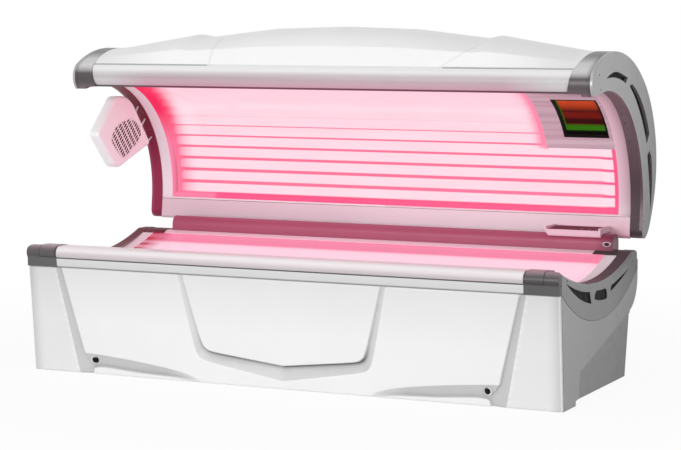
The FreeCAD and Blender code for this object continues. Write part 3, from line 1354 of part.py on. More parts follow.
def grille_wire(gap=0.0):
    """Slanting rounded outline of the pod's grille, drawn in by gap."""
    points = ((512.0, 884.0), (556.0, 938.0), (625.0, 962.0), (690.0, 964.0), (740.0, 938.0),
              (764.0, 906.0), (748.0, 870.0), (655.0, 815.0), (618.0, 801.0), (584.0, 809.0),
              (520.0, 867.0))
    a, b, c, d, e, f, g, h, i, j, k = [inward(point, gap, POD_GRILLE) for point in points]
    return outline(a, (b, c), (d, e), (f, g), h, (i, j), k, a)


def air_pod_grille():
    """Grille in the pod's inner face: slanting columns of short slots."""
    low = POD_X[0]
    plate = prism(grille_wire(0.3), -low - 12, -low - 3)
    wide, tall = POD_SLOT
    slots = []
    for column in range(POD_COLUMNS):
        across = (column - (POD_COLUMNS - 1) / 2) * POD_COLUMN_PITCH
        for row in range(-9, 10):
            down = row * POD_SLOT_PITCH
            slots.append(box((-low - 13, -low), (across - wide / 2, across + wide / 2),
                             (down - tall / 2, down + tall / 2)))
    field = Part.Compound(slots)
    field.rotate(vector(0, 0, 0), vector(1, 0, 0), POD_GRILLE_TURN)
    field.translate(vector(0, *POD_GRILLE))
    return plate.cut(field.common(prism(grille_wire(7.0), -low - 13, -low)))


def cooler_place():
    y, z = polar(ARC, reflector_r() + REFLECTOR_T + COOLER_SIZE / 2 + 16, 45.0)
    return (-HOLDER_X - HOLDER_T + RIB_T, y, z)


def canopy_fan_housing():
    """Body-cooling fan on the left rib, blowing towards the pod."""
    housing = fan_housing((0, 0, 0), COOLER_SIZE, 40.0, COOLER_R, "x")
    housing.rotate(vector(0, 0, 0), vector(1, 0, 0), 45)
    housing.translate(vector(*cooler_place()))
    return housing


def canopy_screws():
    """Visible screws of the canopy: end plates, dark linings and lip rail."""
    screws = []
    for y, z in PLATE_SCREWS:
        screw = rod((HALF - 6, y, z), (1, 0, 0), SCREW_R, 5.2)
        screws.append(screw.cut(rod((HALF - 1.8, y, z), (1, 0, 0), 1.8, 2)))
    for degrees in RIM_SCREWS:
        y, z = polar(ARC, ARC_R - RIM_T + 0.4, degrees)
        way = (0, math.cos(math.radians(degrees)), math.sin(math.radians(degrees)))
        screws.append(rod((BAND_X + 16, y, z), way, SCREW_R, RIM_T - 0.4))
    lip = rod((LIP_SCREW_X, 319.5, 1120), (0, 1, 0), SCREW_R, 3.5)
    screws.append(lip)
    return Part.Compound(screws + [mirrored(screw) for screw in screws])


def build():
    """Every node of the bed, in the working frame."""
    nodes = {
        "base_frame": base_frame(),
        "levelling_feet": levelling_feet(),
        "front_panel": front_panel(),
        "right_end_panel": end_panel(),
        "rear_panel": rear_panel(),
        "mains_gland": mains_gland(),
        "front_rail": front_rail(),
        "rail_strip": rail_strip(),
        "right_rail_cap": rail_cap(),
        "rail_cap_covers": both_ends(rail_cap_cover()),
        "right_end_trim": end_trim(),
        "bench_end_strips": both_ends(bench_end_strip()),
        "bench_acrylic": bench_acrylic(),
        "rear_ledge": rear_ledge(),
        "bench_lamps": bench_lamps(),
        "bench_reflector": bench_reflector(),
        "bench_lamp_holders": both_ends(bench_lamp_holder()),
        "ballasts": ballasts(),
        "control_box": control_box(),
        "base_fan_housings": base_fan_housings(),
        "left_base_fan": fan_rotor(base_fan_place(-1), FAN_DEPTH, FAN_R, "y"),
        "right_base_fan": fan_rotor(base_fan_place(1), FAN_DEPTH, FAN_R, "y"),
        "trunk_cover": trunk_cover(),
        "torsion_bars": torsion_bars(),
        "left_panel_lock": panel_lock(-1),
        "right_panel_lock": panel_lock(1),
        "base_screws": base_screws(),
        "canopy_frame": canopy_frame(),
        "canopy_shell": canopy_shell(),
        "lip_rail": lip_rail(),
        "right_corner_cap": corner_cap(),
        "right_end_plate": end_plate(),
        "rim_bands": both_ends(rim_band()),
        "canopy_inner_shroud": canopy_inner_shroud(),
        "canopy_acrylic": canopy_acrylic(),
        "canopy_reflector": canopy_reflector(),
        "canopy_lamps": canopy_lamps(),
        "canopy_lamp_holders": canopy_lamp_holders(),
        "facial_panel": facial_panel(),
        "facial_frame": facial_frame(),
        "facial_glass": facial_glass(),
        "facial_reflector": facial_reflector(),
        "facial_lamp": facial_lamp(),
        "console_housing": console_housing(),
        "console_display": console_display(),
        "start_key": console_key(0),
        "cooling_key": console_key(1),
        "facial_key": console_key(2),
        "air_pod": air_pod(),
        "air_pod_grille": air_pod_grille(),
        "canopy_fan_housing": canopy_fan_housing(),
        "canopy_fan": fan_rotor(cooler_place(), 40.0, COOLER_R, "x"),
        "canopy_screws": canopy_screws(),
    }
    for name in ("end_panel", "rail_cap", "end_trim", "corner_cap", "end_plate"):
        nodes["left_" + name] = mirrored(nodes["right_" + name])
    for name, pieces in (("trim_grilles", trim_grille()), ("plate_grilles", plate_grille())):
        nodes[name] = Part.Compound(pieces + [mirrored(piece) for piece in pieces])
    return nodes


def main():
    os.makedirs("parts", exist_ok=True)
    for name, shape in sorted(build().items()):
        shape.translate(vector(0, -ORIGIN_Y, 0))
        shape.exportStep("parts/" + name + ".step")
    print("hinge line at y", HINGE_Y - ORIGIN_Y, "z", HINGE_Z)


main()
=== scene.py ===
"""Looks for the clamshell tanning bed: materials, fine detail, stage, light and camera."""

import math

import bmesh
import bpy
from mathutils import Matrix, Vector, geometry

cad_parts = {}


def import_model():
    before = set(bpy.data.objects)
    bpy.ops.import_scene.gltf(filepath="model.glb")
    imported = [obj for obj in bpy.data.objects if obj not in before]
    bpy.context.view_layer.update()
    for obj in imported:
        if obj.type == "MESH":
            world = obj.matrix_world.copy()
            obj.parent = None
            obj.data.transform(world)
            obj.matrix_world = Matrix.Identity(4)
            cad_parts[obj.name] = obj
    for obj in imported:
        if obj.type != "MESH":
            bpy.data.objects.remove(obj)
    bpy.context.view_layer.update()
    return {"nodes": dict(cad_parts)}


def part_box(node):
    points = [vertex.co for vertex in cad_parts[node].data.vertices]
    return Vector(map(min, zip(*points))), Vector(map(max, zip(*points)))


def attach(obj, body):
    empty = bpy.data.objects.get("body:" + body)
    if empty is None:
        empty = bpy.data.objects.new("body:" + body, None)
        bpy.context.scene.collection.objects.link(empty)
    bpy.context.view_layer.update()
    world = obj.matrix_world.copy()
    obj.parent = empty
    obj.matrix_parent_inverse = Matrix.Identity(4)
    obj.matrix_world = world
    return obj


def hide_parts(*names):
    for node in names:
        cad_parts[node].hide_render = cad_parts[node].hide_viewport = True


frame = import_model()
nodes = frame["nodes"]

SHIFT = 0.526              # the CAD's working frame has its Y zero this far in front of the origin
MM = 1000.0                # millimetres in a metre
X, Y, Z = 0, 1, 2
FALLING = (1.0, 0.0)


# ---- node helpers ----
MIX_FACTOR, MIX_A, MIX_B, MIX_RESULT = 0, 6, 7, 2     # sockets of a Mix node that mixes colours
MOTTLE_SCALE, MOTTLE_SPAN = 6.0, (0.35, 0.65)
GLOSS_SCALE, GLOSS_SPAN = 35.0, (0.3, 0.7)
GLOSS_CHANGE = 0.1         # share by which the gloss differs from place to place
BUMP_HEIGHT = 0.0002
COAT_ROUGH = 0.08
tree = None                # node tree that the helpers work in


def start_tree(owner, output):
    """Empties a material's or a world's node tree, in which the helpers then work, and makes
    its output node."""
    global tree
    owner.use_nodes = True
    tree = owner.node_tree
    tree.nodes.clear()
    return tree.nodes.new("ShaderNodeOutput" + output)


def material(name):
    """New material and its output node."""
    mat = bpy.data.materials.new(name)
    return mat, start_tree(mat, "Material")


def node(kind, inputs=None, **props):
    """New node; an input is a value or the socket that feeds it."""
    made = tree.nodes.new("ShaderNode" + kind)
    for key, value in props.items():
        setattr(made, key, value)
    for key, value in (inputs or {}).items():
        if isinstance(value, bpy.types.NodeSocket):
            tree.links.new(value, made.inputs[key])
        else:
            made.inputs[key].default_value = value
    return made


def math_node(operation, a, b=0.0, c=0.0):
    made = node("Math", {0: a, 1: b, 2: c}, operation=operation)
    return made.outputs[0]


def times(a, b):
    return math_node("MULTIPLY", a, b)


def minus(a, b):
    return math_node("SUBTRACT", a, b)


def largest(first, *others):
    for other in others:
        first = math_node("MAXIMUM", first, other)
    return first


def above(value, limit):
    """1 where a value is over the limit, 0 elsewhere."""
    return math_node("GREATER_THAN", value, limit)


def below(value, limit):
    """1 where a value is under the limit, 0 elsewhere."""
    return math_node("LESS_THAN", value, limit)


def rgba(colour):
    return (colour[0], colour[1], colour[2], 1.0)


def mix_colour(factor, a, b, blend="MIX"):
    """Colour between a and b, each a colour or a socket."""
    made = tree.nodes.new("ShaderNodeMix")
    made.data_type = "RGBA"
    made.blend_type = blend
    for index, value in ((MIX_FACTOR, factor), (MIX_A, a), (MIX_B, b)):
        if isinstance(value, bpy.types.NodeSocket):
            tree.links.new(value, made.inputs[index])
        else:
            made.inputs[index].default_value = value if index == MIX_FACTOR else rgba(value)
    return made.outputs[MIX_RESULT]


def scaled(scale):
    """Object coordinates multiplied by a scale per axis."""
    coords = node("TexCoord").outputs["Object"]
    return node("Mapping", {"Vector": coords, "Scale": scale}).outputs["Vector"]


def noise(scale, detail=3.0, vector=None):
    vector = vector or node("TexCoord").outputs["Object"]
    return node("TexNoise", {"Vector": vector, "Scale": scale, "Detail": detail}).outputs[0]


def remap(value, span, to=(0.0, 1.0)):
    """A value's place in a span, carried over to another span and kept inside it."""
    made = node("MapRange", {0: value, 1: span[0], 2: span[1], 3: to[0], 4: to[1]})
    return made.outputs[0]


def axis_of(axis):
    """One object coordinate, in metres."""
    coords = node("TexCoord").outputs["Object"]
    return node("SeparateXYZ", {0: coords}).outputs[axis]


def ramp(value, span, stops):
    """Colour along a span of a value; stops are (share, colour) pairs."""
    share = remap(value, span)
    made = tree.nodes.new("ShaderNodeValToRGB")
    elements = made.color_ramp.elements
    while len(elements) < len(stops):
        elements.new(0.5)
    for element, (place, colour) in zip(elements, stops):
        element.position = place
        element.color = rgba(colour)
    tree.links.new(share, made.inputs[0])
    return made.outputs[0]


def surface(name, colour, rough, metallic=0.0, coat=0.0, vary=0.03, bump=0.02, bump_scale=220.0,
            stretch=None, emission=None, glow=0.0, shine=0.5):
    """Moulded plastic, paint or metal: slight mottling, uneven gloss and a fine surface. colour
    is one colour, or a function that gives it from the place on the piece."""
    mat, out = material(name)
    factor = remap(noise(MOTTLE_SCALE), MOTTLE_SPAN)
    mottle = mix_colour(factor, [1 - vary] * 3, (1, 1, 1))
    base = colour() if callable(colour) else colour
    tint = mix_colour(1.0, base, mottle, "MULTIPLY")
    if stretch:
        fine = noise(1.0, 4.0, scaled(stretch))
    else:
        fine = noise(bump_scale, 1.0)
    gloss = remap(noise(GLOSS_SCALE), GLOSS_SPAN,
                  (rough * (1 - GLOSS_CHANGE), rough * (1 + GLOSS_CHANGE)))
    raised = node("Bump", {"Strength": bump, "Distance": BUMP_HEIGHT, "Height": fine})
    shader = node("BsdfPrincipled", {
        "Base Color": tint, "Roughness": gloss, "Metallic": metallic, "Coat Weight": coat,
        "Coat Roughness": COAT_ROUGH, "Normal": raised.outputs[0]})
    shader.inputs["Specular IOR Level"].default_value = shine
    if emission:
        shader.inputs["Emission Color"].default_value = rgba(emission)
        shader.inputs["Emission Strength"].default_value = glow
    tree.links.new(shader.outputs[0], out.inputs[0])
    return mat


def paint(mat, *names):
    for name in names:
        mesh = nodes[name].data
        mesh.materials.clear()
        mesh.materials.append(mat)


# ---- shades of the CAD nodes ----
# A shade gives a piece's colour from the place on it, and most shades paint light and shade into
# that colour. Its spans of X, Y and Z are in metres.
LIT = (-1.0, 1.0)                 # X from the left to the right end of the lit width
ARC = (0.467 - SHIFT, 0.660)      # axis of the canopy's inner curve, in Y and Z
PANEL_LEAN, PANEL_RISE = 38.0, 418.0      # of the front panel, in millimetres
LEAN = math.atan(PANEL_LEAN / PANEL_RISE)
SEAM, SEAM_DARK = 0.0185, 0.85    # seam beside the panel: how far behind its face it ends
RIM_TURN = (0.75, 1.0)            # Z over which the lining's painted shade changes from its low to its high colour
CREASE_X, CREASE_FOOT, CREASE_SLOPE = 0.495, 1.206, 1.5
CREASE_HALF, CREASE_PAINTED_SHADE = 0.010, 0.12
CREASE_FADE = (-0.08, -0.03)      # Y over which the crease ends
TRUNK_END = (0.95, 1.02)
POD_FLOOR = 0.9                   # least part of the normal that looks to the right
LOCK_LOW, LOCK_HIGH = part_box("right_panel_lock")
LOCK_X = (LOCK_LOW[X] + LOCK_HIGH[X]) / 2
LOCK_Z = (LOCK_LOW[Z] + LOCK_HIGH[Z]) / 2
KEY_R = 0.0112
SHROUD_HEIGHTS, SHROUD_END = (0.53, 0.61), (0.70, 1.0)
SHROUD_JOINT, SHROUD_JOINT_HALF = 0.6115, 0.0012      # height of the joint above the shroud
SIDE_STRIP = (1.0, 1.05)          # from the lamps to the right lining
STREAKS, STREAK_SPAN = (1.2, 45.0, 45.0), (0.40, 0.62)
PLATE_EDGE = 0.4665               # radius inside which the C's edge lies
PLATE_FIELD, PLATE_FIELD_TOP = 0.508, 0.63        # radius and height of the dark field at its foot
PLATE_DEPTHS, PLATE_FOOT_SHADE = (-0.2, 0.55), (0.53, 0.85)
TRIM_DEPTHS = (-0.5, 0.33)
END_DEPTHS, END_FALL = (-0.75, 0.35), 0.7
END_START = 0.190 - SHIFT         # front of the end panels' lower rear field
END_SLOPE = 0.252                 # rise of its edge for each unit of depth
END_POINT = (0.145, 0.108)        # depth and height of a point on that edge, in the CAD's frame
END_LINE = END_POINT[1] - END_POINT[0] * END_SLOPE + SHIFT * END_SLOPE
END_FIELD_SHADE = 0.30
LIP_HEIGHTS, LIP_FADE = (1.110, 1.201), (0.76, 0.94)
LIP_SEAM, LIP_SEAM_DARK = 1.1975, 0.6
WING_START = 0.50                 # the shell's raised centre ends here
CAP_HEIGHTS, CAP_FOOT = (0.418, 0.500), (0.48, 0.495)
COVER_WIDTH = 0.074
COVER_JOINT = 0.0025              # dark joint round the cover plates
CORNER_HEIGHTS, CORNER_TURN = (1.100, 1.262), (1.070, 1.088)
RAIL_HEIGHTS, STRIP_HEIGHTS = (0.452, 0.499), (0.420, 0.4517)


def reach_of():
    """Distance along X from the middle of the bed."""
    return math_node("ABSOLUTE", axis_of(X))


def normal_x():
    """How far a face looks along X: 1 is to the right and -1 to the left."""
    normal = node("NewGeometry").outputs["True Normal"]
    return node("SeparateXYZ", {0: normal}).outputs[X]


def facing_side(least=0.5):
    """1 where a face looks to either side, 0 elsewhere."""
    return above(math_node("ABSOLUTE", normal_x()), least)


def from_arc():
    """Y and Z measured from the axis of the canopy's inner curve."""
    return minus(axis_of(Y), ARC[0]), minus(axis_of(Z), ARC[1])


def arc_radius():
    """Distance from the axis of the canopy's inner curve."""
    y, z = from_arc()
    squares = math_node("ADD", math_node("POWER", y, 2.0), math_node("POWER", z, 2.0))
    return math_node("SQRT", squares)


def by_height(span, stops):
    """Shade that changes with height."""
    return lambda: ramp(axis_of(Z), span, stops)


def groove_shade():
    """White with painted shade: a little darker towards the top, and black in the front panel's
    channels.
    """
    dark = node("Attribute", attribute_name="groove").outputs["Fac"]
    face = ramp(axis_of(Z), (0.0, PANEL_RISE / MM),
                [(0.0, (0.89, 0.89, 0.895)), (0.5, (0.88, 0.88, 0.885)),
                 (0.85, (0.80, 0.80, 0.805)), (1.0, (0.76, 0.76, 0.765))])
    return mix_colour(dark, face, (0.02, 0.02, 0.02))


def rim_shade():
    """Dark lining: wine red at the pod's end, grey at the facial lamp's end, with painted shade
    that changes it with height.
    """
    low = ramp(axis_of(X), LIT,
               [(0.0, (0.30, 0.022, 0.075)), (0.45, (0.20, 0.04, 0.075)),
                (1.0, (0.085, 0.055, 0.065))])
    high = ramp(axis_of(X), LIT,
                [(0.0, (0.20, 0.004, 0.030)), (0.45, (0.18, 0.03, 0.06)),
                 (1.0, (0.165, 0.120, 0.132))])
    return mix_colour(remap(axis_of(Z), RIM_TURN), low, high)


def shell_shade():
    """White with a painted shade line along a crease at both ends of the raised centre."""
    x, z = axis_of(X), axis_of(Z)
    rise = minus(z, CREASE_FOOT)
    right = minus(x, times(rise, CREASE_SLOPE))
    share = 0.0
    for place, line in ((x, -CREASE_X), (right, CREASE_X)):
        apart = math_node("ABSOLUTE", minus(place, line))
        share = largest(share, remap(apart, (0.0, CREASE_HALF), (CREASE_PAINTED_SHADE, 0.0)))
    share = times(share, remap(axis_of(Y), CREASE_FADE, FALLING))
    return mix_colour(share, (0.92, 0.92, 0.925), (0.1, 0.1, 0.1))


def trunk_shade():
    """Wine red, with painted shade that darkens its right end."""
    return ramp(axis_of(X), TRUNK_END,
                [(0.0, (0.38, 0.066, 0.135)), (0.5, (0.27, 0.035, 0.08)),
                 (1.0, (0.16, 0.02, 0.05))])


def strip_shade():
    """Bench's end strips: nearly white at the right, with painted pink lamp light at the left."""
    return ramp(axis_of(X), LIT, [(0.0, (0.88, 0.66, 0.74)), (1.0, (0.93, 0.91, 0.925))])


def pod_shade():
    """White outside, with painted shade on the floor of the cavity behind the grille."""
    inner = below(axis_of(X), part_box("air_pod_grille")[0][X])
    floor = times(inner, above(normal_x(), POD_FLOOR))
    return mix_colour(floor, (0.93, 0.96, 0.97), (0.02, 0.003, 0.006))


def slot_shade():
    """Pale face with painted shade on the walls of its slots."""
    return mix_colour(facing_side(), (0.02, 0.003, 0.006), (0.88, 0.85, 0.87))


def lock_shade():
    """Black key disc in a pale bezel."""
    x = minus(reach_of(), LOCK_X)
    z = minus(axis_of(Z), LOCK_Z)
    apart = node("VectorMath", {0: node("CombineXYZ", {X: x, Z: z}).outputs[0]},
                 operation="LENGTH").outputs["Value"]
    return mix_colour(above(apart, KEY_R), (0.003, 0.003, 0.0035), (0.72, 0.72, 0.725))


def pale_shade():
    """Pale pink end strips that turn mauve towards the right lining, over a pink shroud that is
    redder at its foot towards the right, with a thin joint line between them. The pink and red
    are painted lamp light and the mauve is painted shade."""
    x, z = axis_of(X), axis_of(Z)
    side = ramp(x, SIDE_STRIP, [(0.0, (0.84, 0.60, 0.68)), (0.4, (0.72, 0.53, 0.59)),
                                (1.0, (0.50, 0.35, 0.40))])
    strip = mix_colour(above(x, 0.0), (0.92, 0.80, 0.85), side)
    right_end = ramp(z, SHROUD_HEIGHTS, [(0.0, (0.74, 0.34, 0.45)), (1.0, (0.79, 0.56, 0.64))])
    shroud = mix_colour(remap(x, SHROUD_END), (0.79, 0.58, 0.655), right_end)
    tint = mix_colour(above(z, SHROUD_JOINT), shroud, strip)
    joint = math_node("COMPARE", axis_of(Z), SHROUD_JOINT, SHROUD_JOINT_HALF)
    return mix_colour(joint, tint, (0.26, 0.10, 0.15))


def facial_shade():
    """Mauve gloss with long streaks of lamp light in it."""
    streak = noise(1.0, 2.0, scaled(STREAKS))
    return mix_colour(remap(streak, STREAK_SPAN), (0.54, 0.39, 0.45), (0.66, 0.52, 0.58))


def plate_shade():
    """Satin silver with painted shade that darkens it towards the back and the foot, with the
    inner edge of the C and the field at its foot as dark as its lining."""
    edge = below(arc_radius(), PLATE_EDGE)
    field = times(below(arc_radius(), PLATE_FIELD), below(axis_of(Z), PLATE_FIELD_TOP))
    flat = minus(1.0, facing_side(0.6))
    mask = times(largest(edge, field), flat)
    silver = ramp(axis_of(Y), PLATE_DEPTHS,
                  [(0.0, (0.42, 0.415, 0.42)), (0.5, (0.36, 0.355, 0.36)),
                   (1.0, (0.20, 0.195, 0.20))])
    painted_foot_shade = remap(axis_of(Z), PLATE_FOOT_SHADE, (0.45, 0.0))
    silver = mix_colour(painted_foot_shade, silver, (0.02, 0.01, 0.014))
    return mix_colour(mask, silver, rim_shade())


def trim_shade():
    """Silver on its outer side, with painted shade darkening it towards the back, and as dark as
    the canopy's lining on top.
    """
    silver = ramp(axis_of(Y), TRIM_DEPTHS,
                  [(0.0, (0.38, 0.375, 0.38)), (0.6, (0.34, 0.335, 0.34)),
                   (1.0, (0.17, 0.165, 0.17))])
    top = ramp(axis_of(X), LIT, [(0.0, (0.13, 0.003, 0.020)), (1.0, (0.070, 0.055, 0.060))])
    return mix_colour(facing_side(), top, silver)


def end_shade():
    """Grey with painted shade that falls off towards the rear foot and darkens the lower rear
    field, and nearly black in the seam beside the front panel."""
    y, z = axis_of(Y), axis_of(Z)
    away = minus(y, times(z, END_FALL))
    grey = ramp(away, END_DEPTHS,
                [(0.0, (0.44, 0.44, 0.445)), (0.55, (0.34, 0.34, 0.345)),
                 (1.0, (0.19, 0.19, 0.195))])
    line = minus(z, times(y, END_SLOPE))
    field = times(below(line, END_LINE), above(y, END_START))
    depth = math_node("ADD", times(y, math.cos(LEAN)), times(z, math.sin(LEAN)))
    seam = below(depth, SEAM - SHIFT * math.cos(LEAN))
    dark = largest(times(field, END_FIELD_SHADE), times(seam, SEAM_DARK))
    return mix_colour(dark, grey, (0, 0, 0))


def lip_shade():
    """Painted light and shade by height: a painted highlight on the crown, a belly in painted
    shade with painted pink lamp light, and a dark line below; the pink fades at both ends.
    """
    height = axis_of(Z)
    lit = ramp(height, LIP_HEIGHTS,
               [(0.0, (0.13, 0.025, 0.06)), (0.07, (0.13, 0.025, 0.06)),
                (0.10, (0.60, 0.37, 0.44)), (0.30, (0.56, 0.39, 0.45)),
                (0.47, (0.45, 0.35, 0.385)), (0.62, (0.58, 0.52, 0.545)),
                (0.78, (0.82, 0.805, 0.81)), (1.0, (0.90, 0.90, 0.90))])
    plain = ramp(height, LIP_HEIGHTS,
                 [(0.0, (0.06, 0.05, 0.055)), (0.07, (0.06, 0.05, 0.055)),
                  (0.10, (0.58, 0.55, 0.56)), (0.30, (0.62, 0.60, 0.61)),
                  (0.47, (0.50, 0.48, 0.49)), (0.62, (0.62, 0.60, 0.61)),
                  (0.78, (0.82, 0.815, 0.815)), (1.0, (0.90, 0.90, 0.90))])
    reach = reach_of()
    body = mix_colour(remap(reach, LIP_FADE), lit, plain)
    seam = times(above(height, LIP_SEAM), above(reach, WING_START))
    return mix_colour(times(seam, LIP_SEAM_DARK), body, (0.1, 0.1, 0.1))


def cap_shade():
    """Rail cap: neutral grey foot, then charcoal that turns mauve at the top in a painted
    highlight. Below its top the right one is darker with painted shade."""
    grey = ramp(axis_of(Z), CAP_HEIGHTS,
                [(0.0, (0.088, 0.087, 0.088)), (0.44, (0.092, 0.091, 0.092)),
                 (0.49, (0.066, 0.060, 0.062)), (0.75, (0.078, 0.066, 0.070)),
                 (0.88, (0.15, 0.115, 0.125)), (1.0, (0.36, 0.25, 0.28))])
    right = above(axis_of(X), 0.0)
    foot = remap(axis_of(Z), CAP_FOOT, (0.35, 0.0))
    return mix_colour(times(right, foot), grey, (0, 0, 0))


def cover_shade():
    """Rail cap's colour with the dark joint round each cover plate."""
    low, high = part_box("rail_cap_covers")
    reach = reach_of()
    outer = above(reach, high[X] - COVER_JOINT)
    inner = below(reach, high[X] - COVER_WIDTH + COVER_JOINT)
    foot = below(axis_of(Z), low[Z] + COVER_JOINT)
    return mix_colour(largest(outer, inner, foot), cap_shade(), (0.012, 0.01, 0.011))


def corner_shade():
    """Corner cap in painted light and shade: dark below its fold and at its crown, a painted
    highlight between, and painted shade round its outer corner."""
    front = ramp(axis_of(Z), CORNER_HEIGHTS,
                 [(0.0, (0.19, 0.15, 0.165)), (0.14, (0.10, 0.080, 0.088)),
                  (0.28, (0.060, 0.048, 0.053)), (0.40, (0.082, 0.072, 0.076)),
                  (0.46, (0.30, 0.285, 0.29)), (0.60, (0.66, 0.65, 0.655)),
                  (0.74, (0.62, 0.615, 0.62)), (0.90, (0.11, 0.108, 0.11)),
                  (1.0, (0.045, 0.043, 0.045))])
    return mix_colour(remap(reach_of(), CORNER_TURN, (0.0, 0.55)), front, (0.03, 0.028, 0.03))


# Front rail: a dark line at its foot, then painted shade giving way to a painted highlight at the
# top.
rail_shade = by_height(RAIL_HEIGHTS, [
    (0.0, (0.11, 0.10, 0.105)), (0.08, (0.11, 0.10, 0.105)), (0.12, (0.57, 0.52, 0.54)),
    (0.45, (0.63, 0.565, 0.59)), (0.70, (0.86, 0.80, 0.82)), (1.0, (0.88, 0.83, 0.85))])
rail_strip_shade = by_height(STRIP_HEIGHTS, [
    (0.0, (0.42, 0.415, 0.42)), (0.08, (0.42, 0.415, 0.42)), (0.12, (0.65, 0.65, 0.655)),
    (1.0, (0.70, 0.70, 0.705))])


# ---- materials of the CAD nodes ----
DRAWN = (3.0, 900.0, 900.0)       # grain along X
DRAWN_BAR = (4.0, 800.0, 800.0)
DRAWN_SHEET = (3.0, 500.0, 500.0)
SPRAYED = 600.0                   # fine grain of sprayed plastic

white = surface("shell_white", shell_shade, 0.36, coat=0.15, vary=0.01, bump=0.03)
panel = surface("panel_white", groove_shade, 0.38, coat=0.12, vary=0.012, bump=0.04)
lip = surface("lip_silver", lip_shade, 0.36, coat=0.1, vary=0.01, bump=0.10, stretch=DRAWN)
satin = surface("rail_silver", rail_shade, 0.36, coat=0.1, vary=0.01, bump=0.10, stretch=DRAWN)
corner = surface("cap_silver", corner_shade, 0.36, metallic=0.3, coat=0.1, bump=0.05,
                 bump_scale=SPRAYED)
plate = surface("plate_silver", plate_shade, 0.36, metallic=0.35, coat=0.1, bump=0.05,
                bump_scale=SPRAYED)
trim = surface("trim_silver", trim_shade, 0.45, bump=0.05, bump_scale=SPRAYED, shine=0.2)
end_panel = surface("panel_grey", end_shade, 0.42, vary=0.02, bump=0.05)
rear = surface("rear_grey", (0.46, 0.46, 0.465), 0.42, vary=0.02, bump=0.05)
rail_cap = surface("cap_grey", cap_shade, 0.40, coat=0.05, bump=0.05, bump_scale=SPRAYED)
cover = surface("cover_grey", cover_shade, 0.40, coat=0.05, bump=0.05, bump_scale=SPRAYED)
rail_strip = surface("strip_grey", rail_strip_shade, 0.36, coat=0.1, vary=0.01)
rim = surface("rim_dark", rim_shade, 0.45, vary=0.05, bump=0.06, shine=0.2)
trunk = surface("trunk_dark", trunk_shade, 0.42, vary=0.04)
ledge = surface("ledge_pale", (0.93, 0.70, 0.78), 0.36, coat=0.15, vary=0.01)
bench_strip = surface("bench_strip", strip_shade, 0.36, coat=0.15, vary=0.01)
pale = surface("strip_pale", pale_shade, 0.36, coat=0.15, vary=0.01)
facial = surface("facial_panel", facial_shade, 0.33, coat=0.4, vary=0.01)
steel = surface("frame_steel", (0.10, 0.105, 0.11), 0.5, vary=0.08, bump=0.15, bump_scale=500.0)
zinc = surface("lock_steel", (0.09, 0.09, 0.095), 0.36, metallic=0.8, vary=0.06, bump=0.1)
lock = surface("lock_black", lock_shade, 0.5, vary=0.06, bump=0.1, shine=0.15)
bar = surface("bar_steel", (0.5, 0.5, 0.52), 0.33, metallic=1.0, bump=0.1, stretch=DRAWN_BAR)
rubber = surface("foot_rubber", (0.03, 0.03, 0.03), 0.8, vary=0.1, bump=0.2)
ballast = surface("ballast_grey", (0.62, 0.61, 0.58), 0.45, metallic=0.4, vary=0.06)
box_grey = surface("box_grey", (0.32, 0.33, 0.35), 0.5, vary=0.04)
black = surface("fan_black", (0.035, 0.035, 0.038), 0.5, vary=0.1, bump=0.1)
socket_black = surface("socket_black", (0.03, 0.012, 0.016), 0.4, vary=0.1, shine=0.3)
grille = surface("grille_dark", (0.004, 0.004, 0.0045), 0.55, vary=0.1, bump=0.08, shine=0.15)
window = surface("window_black", (0.002, 0.003, 0.002), 0.5, vary=0.1, shine=0.1)
# A white console, painted pink with the lamps' light.
console = surface("console_white", (0.76, 0.52, 0.60), 0.36, coat=0.1, vary=0.01)
display = surface("display_dark", (0.11, 0.003, 0.02), 0.5, vary=0.1, shine=0.1)
key = surface("key_grey", (0.28, 0.10, 0.16), 0.4, vary=0.05)
pod = surface("pod_white", pod_shade, 0.36, coat=0.15, vary=0.01)
pod_grille = surface("pod_grille", slot_shade, 0.45, vary=0.02)
# White lamp holders, given a painted pink colour and a painted glow of the lamps' light.
holder = surface("holder_white", (0.85, 0.16, 0.28), 0.45, vary=0.02,
                 emission=(1.0, 0.04, 0.12), glow=0.6)
# The reflector's pink and its glow are painted lamp light.
reflector = surface("reflector", (0.80, 0.08, 0.16), 0.36, metallic=0.3, vary=0.02, bump=0.05,
                    stretch=DRAWN_SHEET, emission=(1.0, 0.03, 0.15), glow=0.6)
facial_mirror = surface("facial_mirror", (0.55, 0.40, 0.30), 0.33, metallic=0.9,
                        stretch=DRAWN_SHEET)
capsule = surface("capsule_lamp", (0.95, 0.6, 0.3), 0.36, emission=(1.0, 0.40, 0.10), glow=2.6)


# ---- lamps and clear sheets ----
LAMP_END = (-0.88, -0.965)        # X over which a lamp's left end turns deep pink
LAMP_GRAIN = (4.0, 30.0, 30.0)
PANEL_SIDE, PANEL_FOOT = (0.67, 0.72), 0.87       # where the upper lamps meet the facial panel
LAMP_STEP = 0.049 / 0.462         # angle between neighbouring canopy lamps
LAMP_BEHIND = 1.058               # radius of the lamps' middles as a share of the sheet's
GAP_SPAN = (0.05, 0.15)           # half of a dark gap and its soft edge, in lamp steps
EYE_LIFT = math.radians(5.0)      # how far the view from the front looks down
BENCH_DEPTHS, BENCH_END = (-0.46, 0.24), (-0.975, -0.90)
BENCH_PAINTED_GLOW = 0.72
LAMP_WAVE = 110.0                 # stripes of the bench lamps' ends, radians a metre
EDGE_GLOW = (0.634, 0.652)        # Z over which the glow along the canopy sheet's foot fades
LEFT_GLOW, LEFT_WIDTH = (0.75, 1.10), (0.045, 0.17)   # width of the glow at its left, by height
LEFT_TURN, LEFT_STOP = (0.85, 1.0), (-0.80, -0.78)
RIGHT_LINE, PALE_PATCH = (0.984, 0.989), (0.930, 0.960)
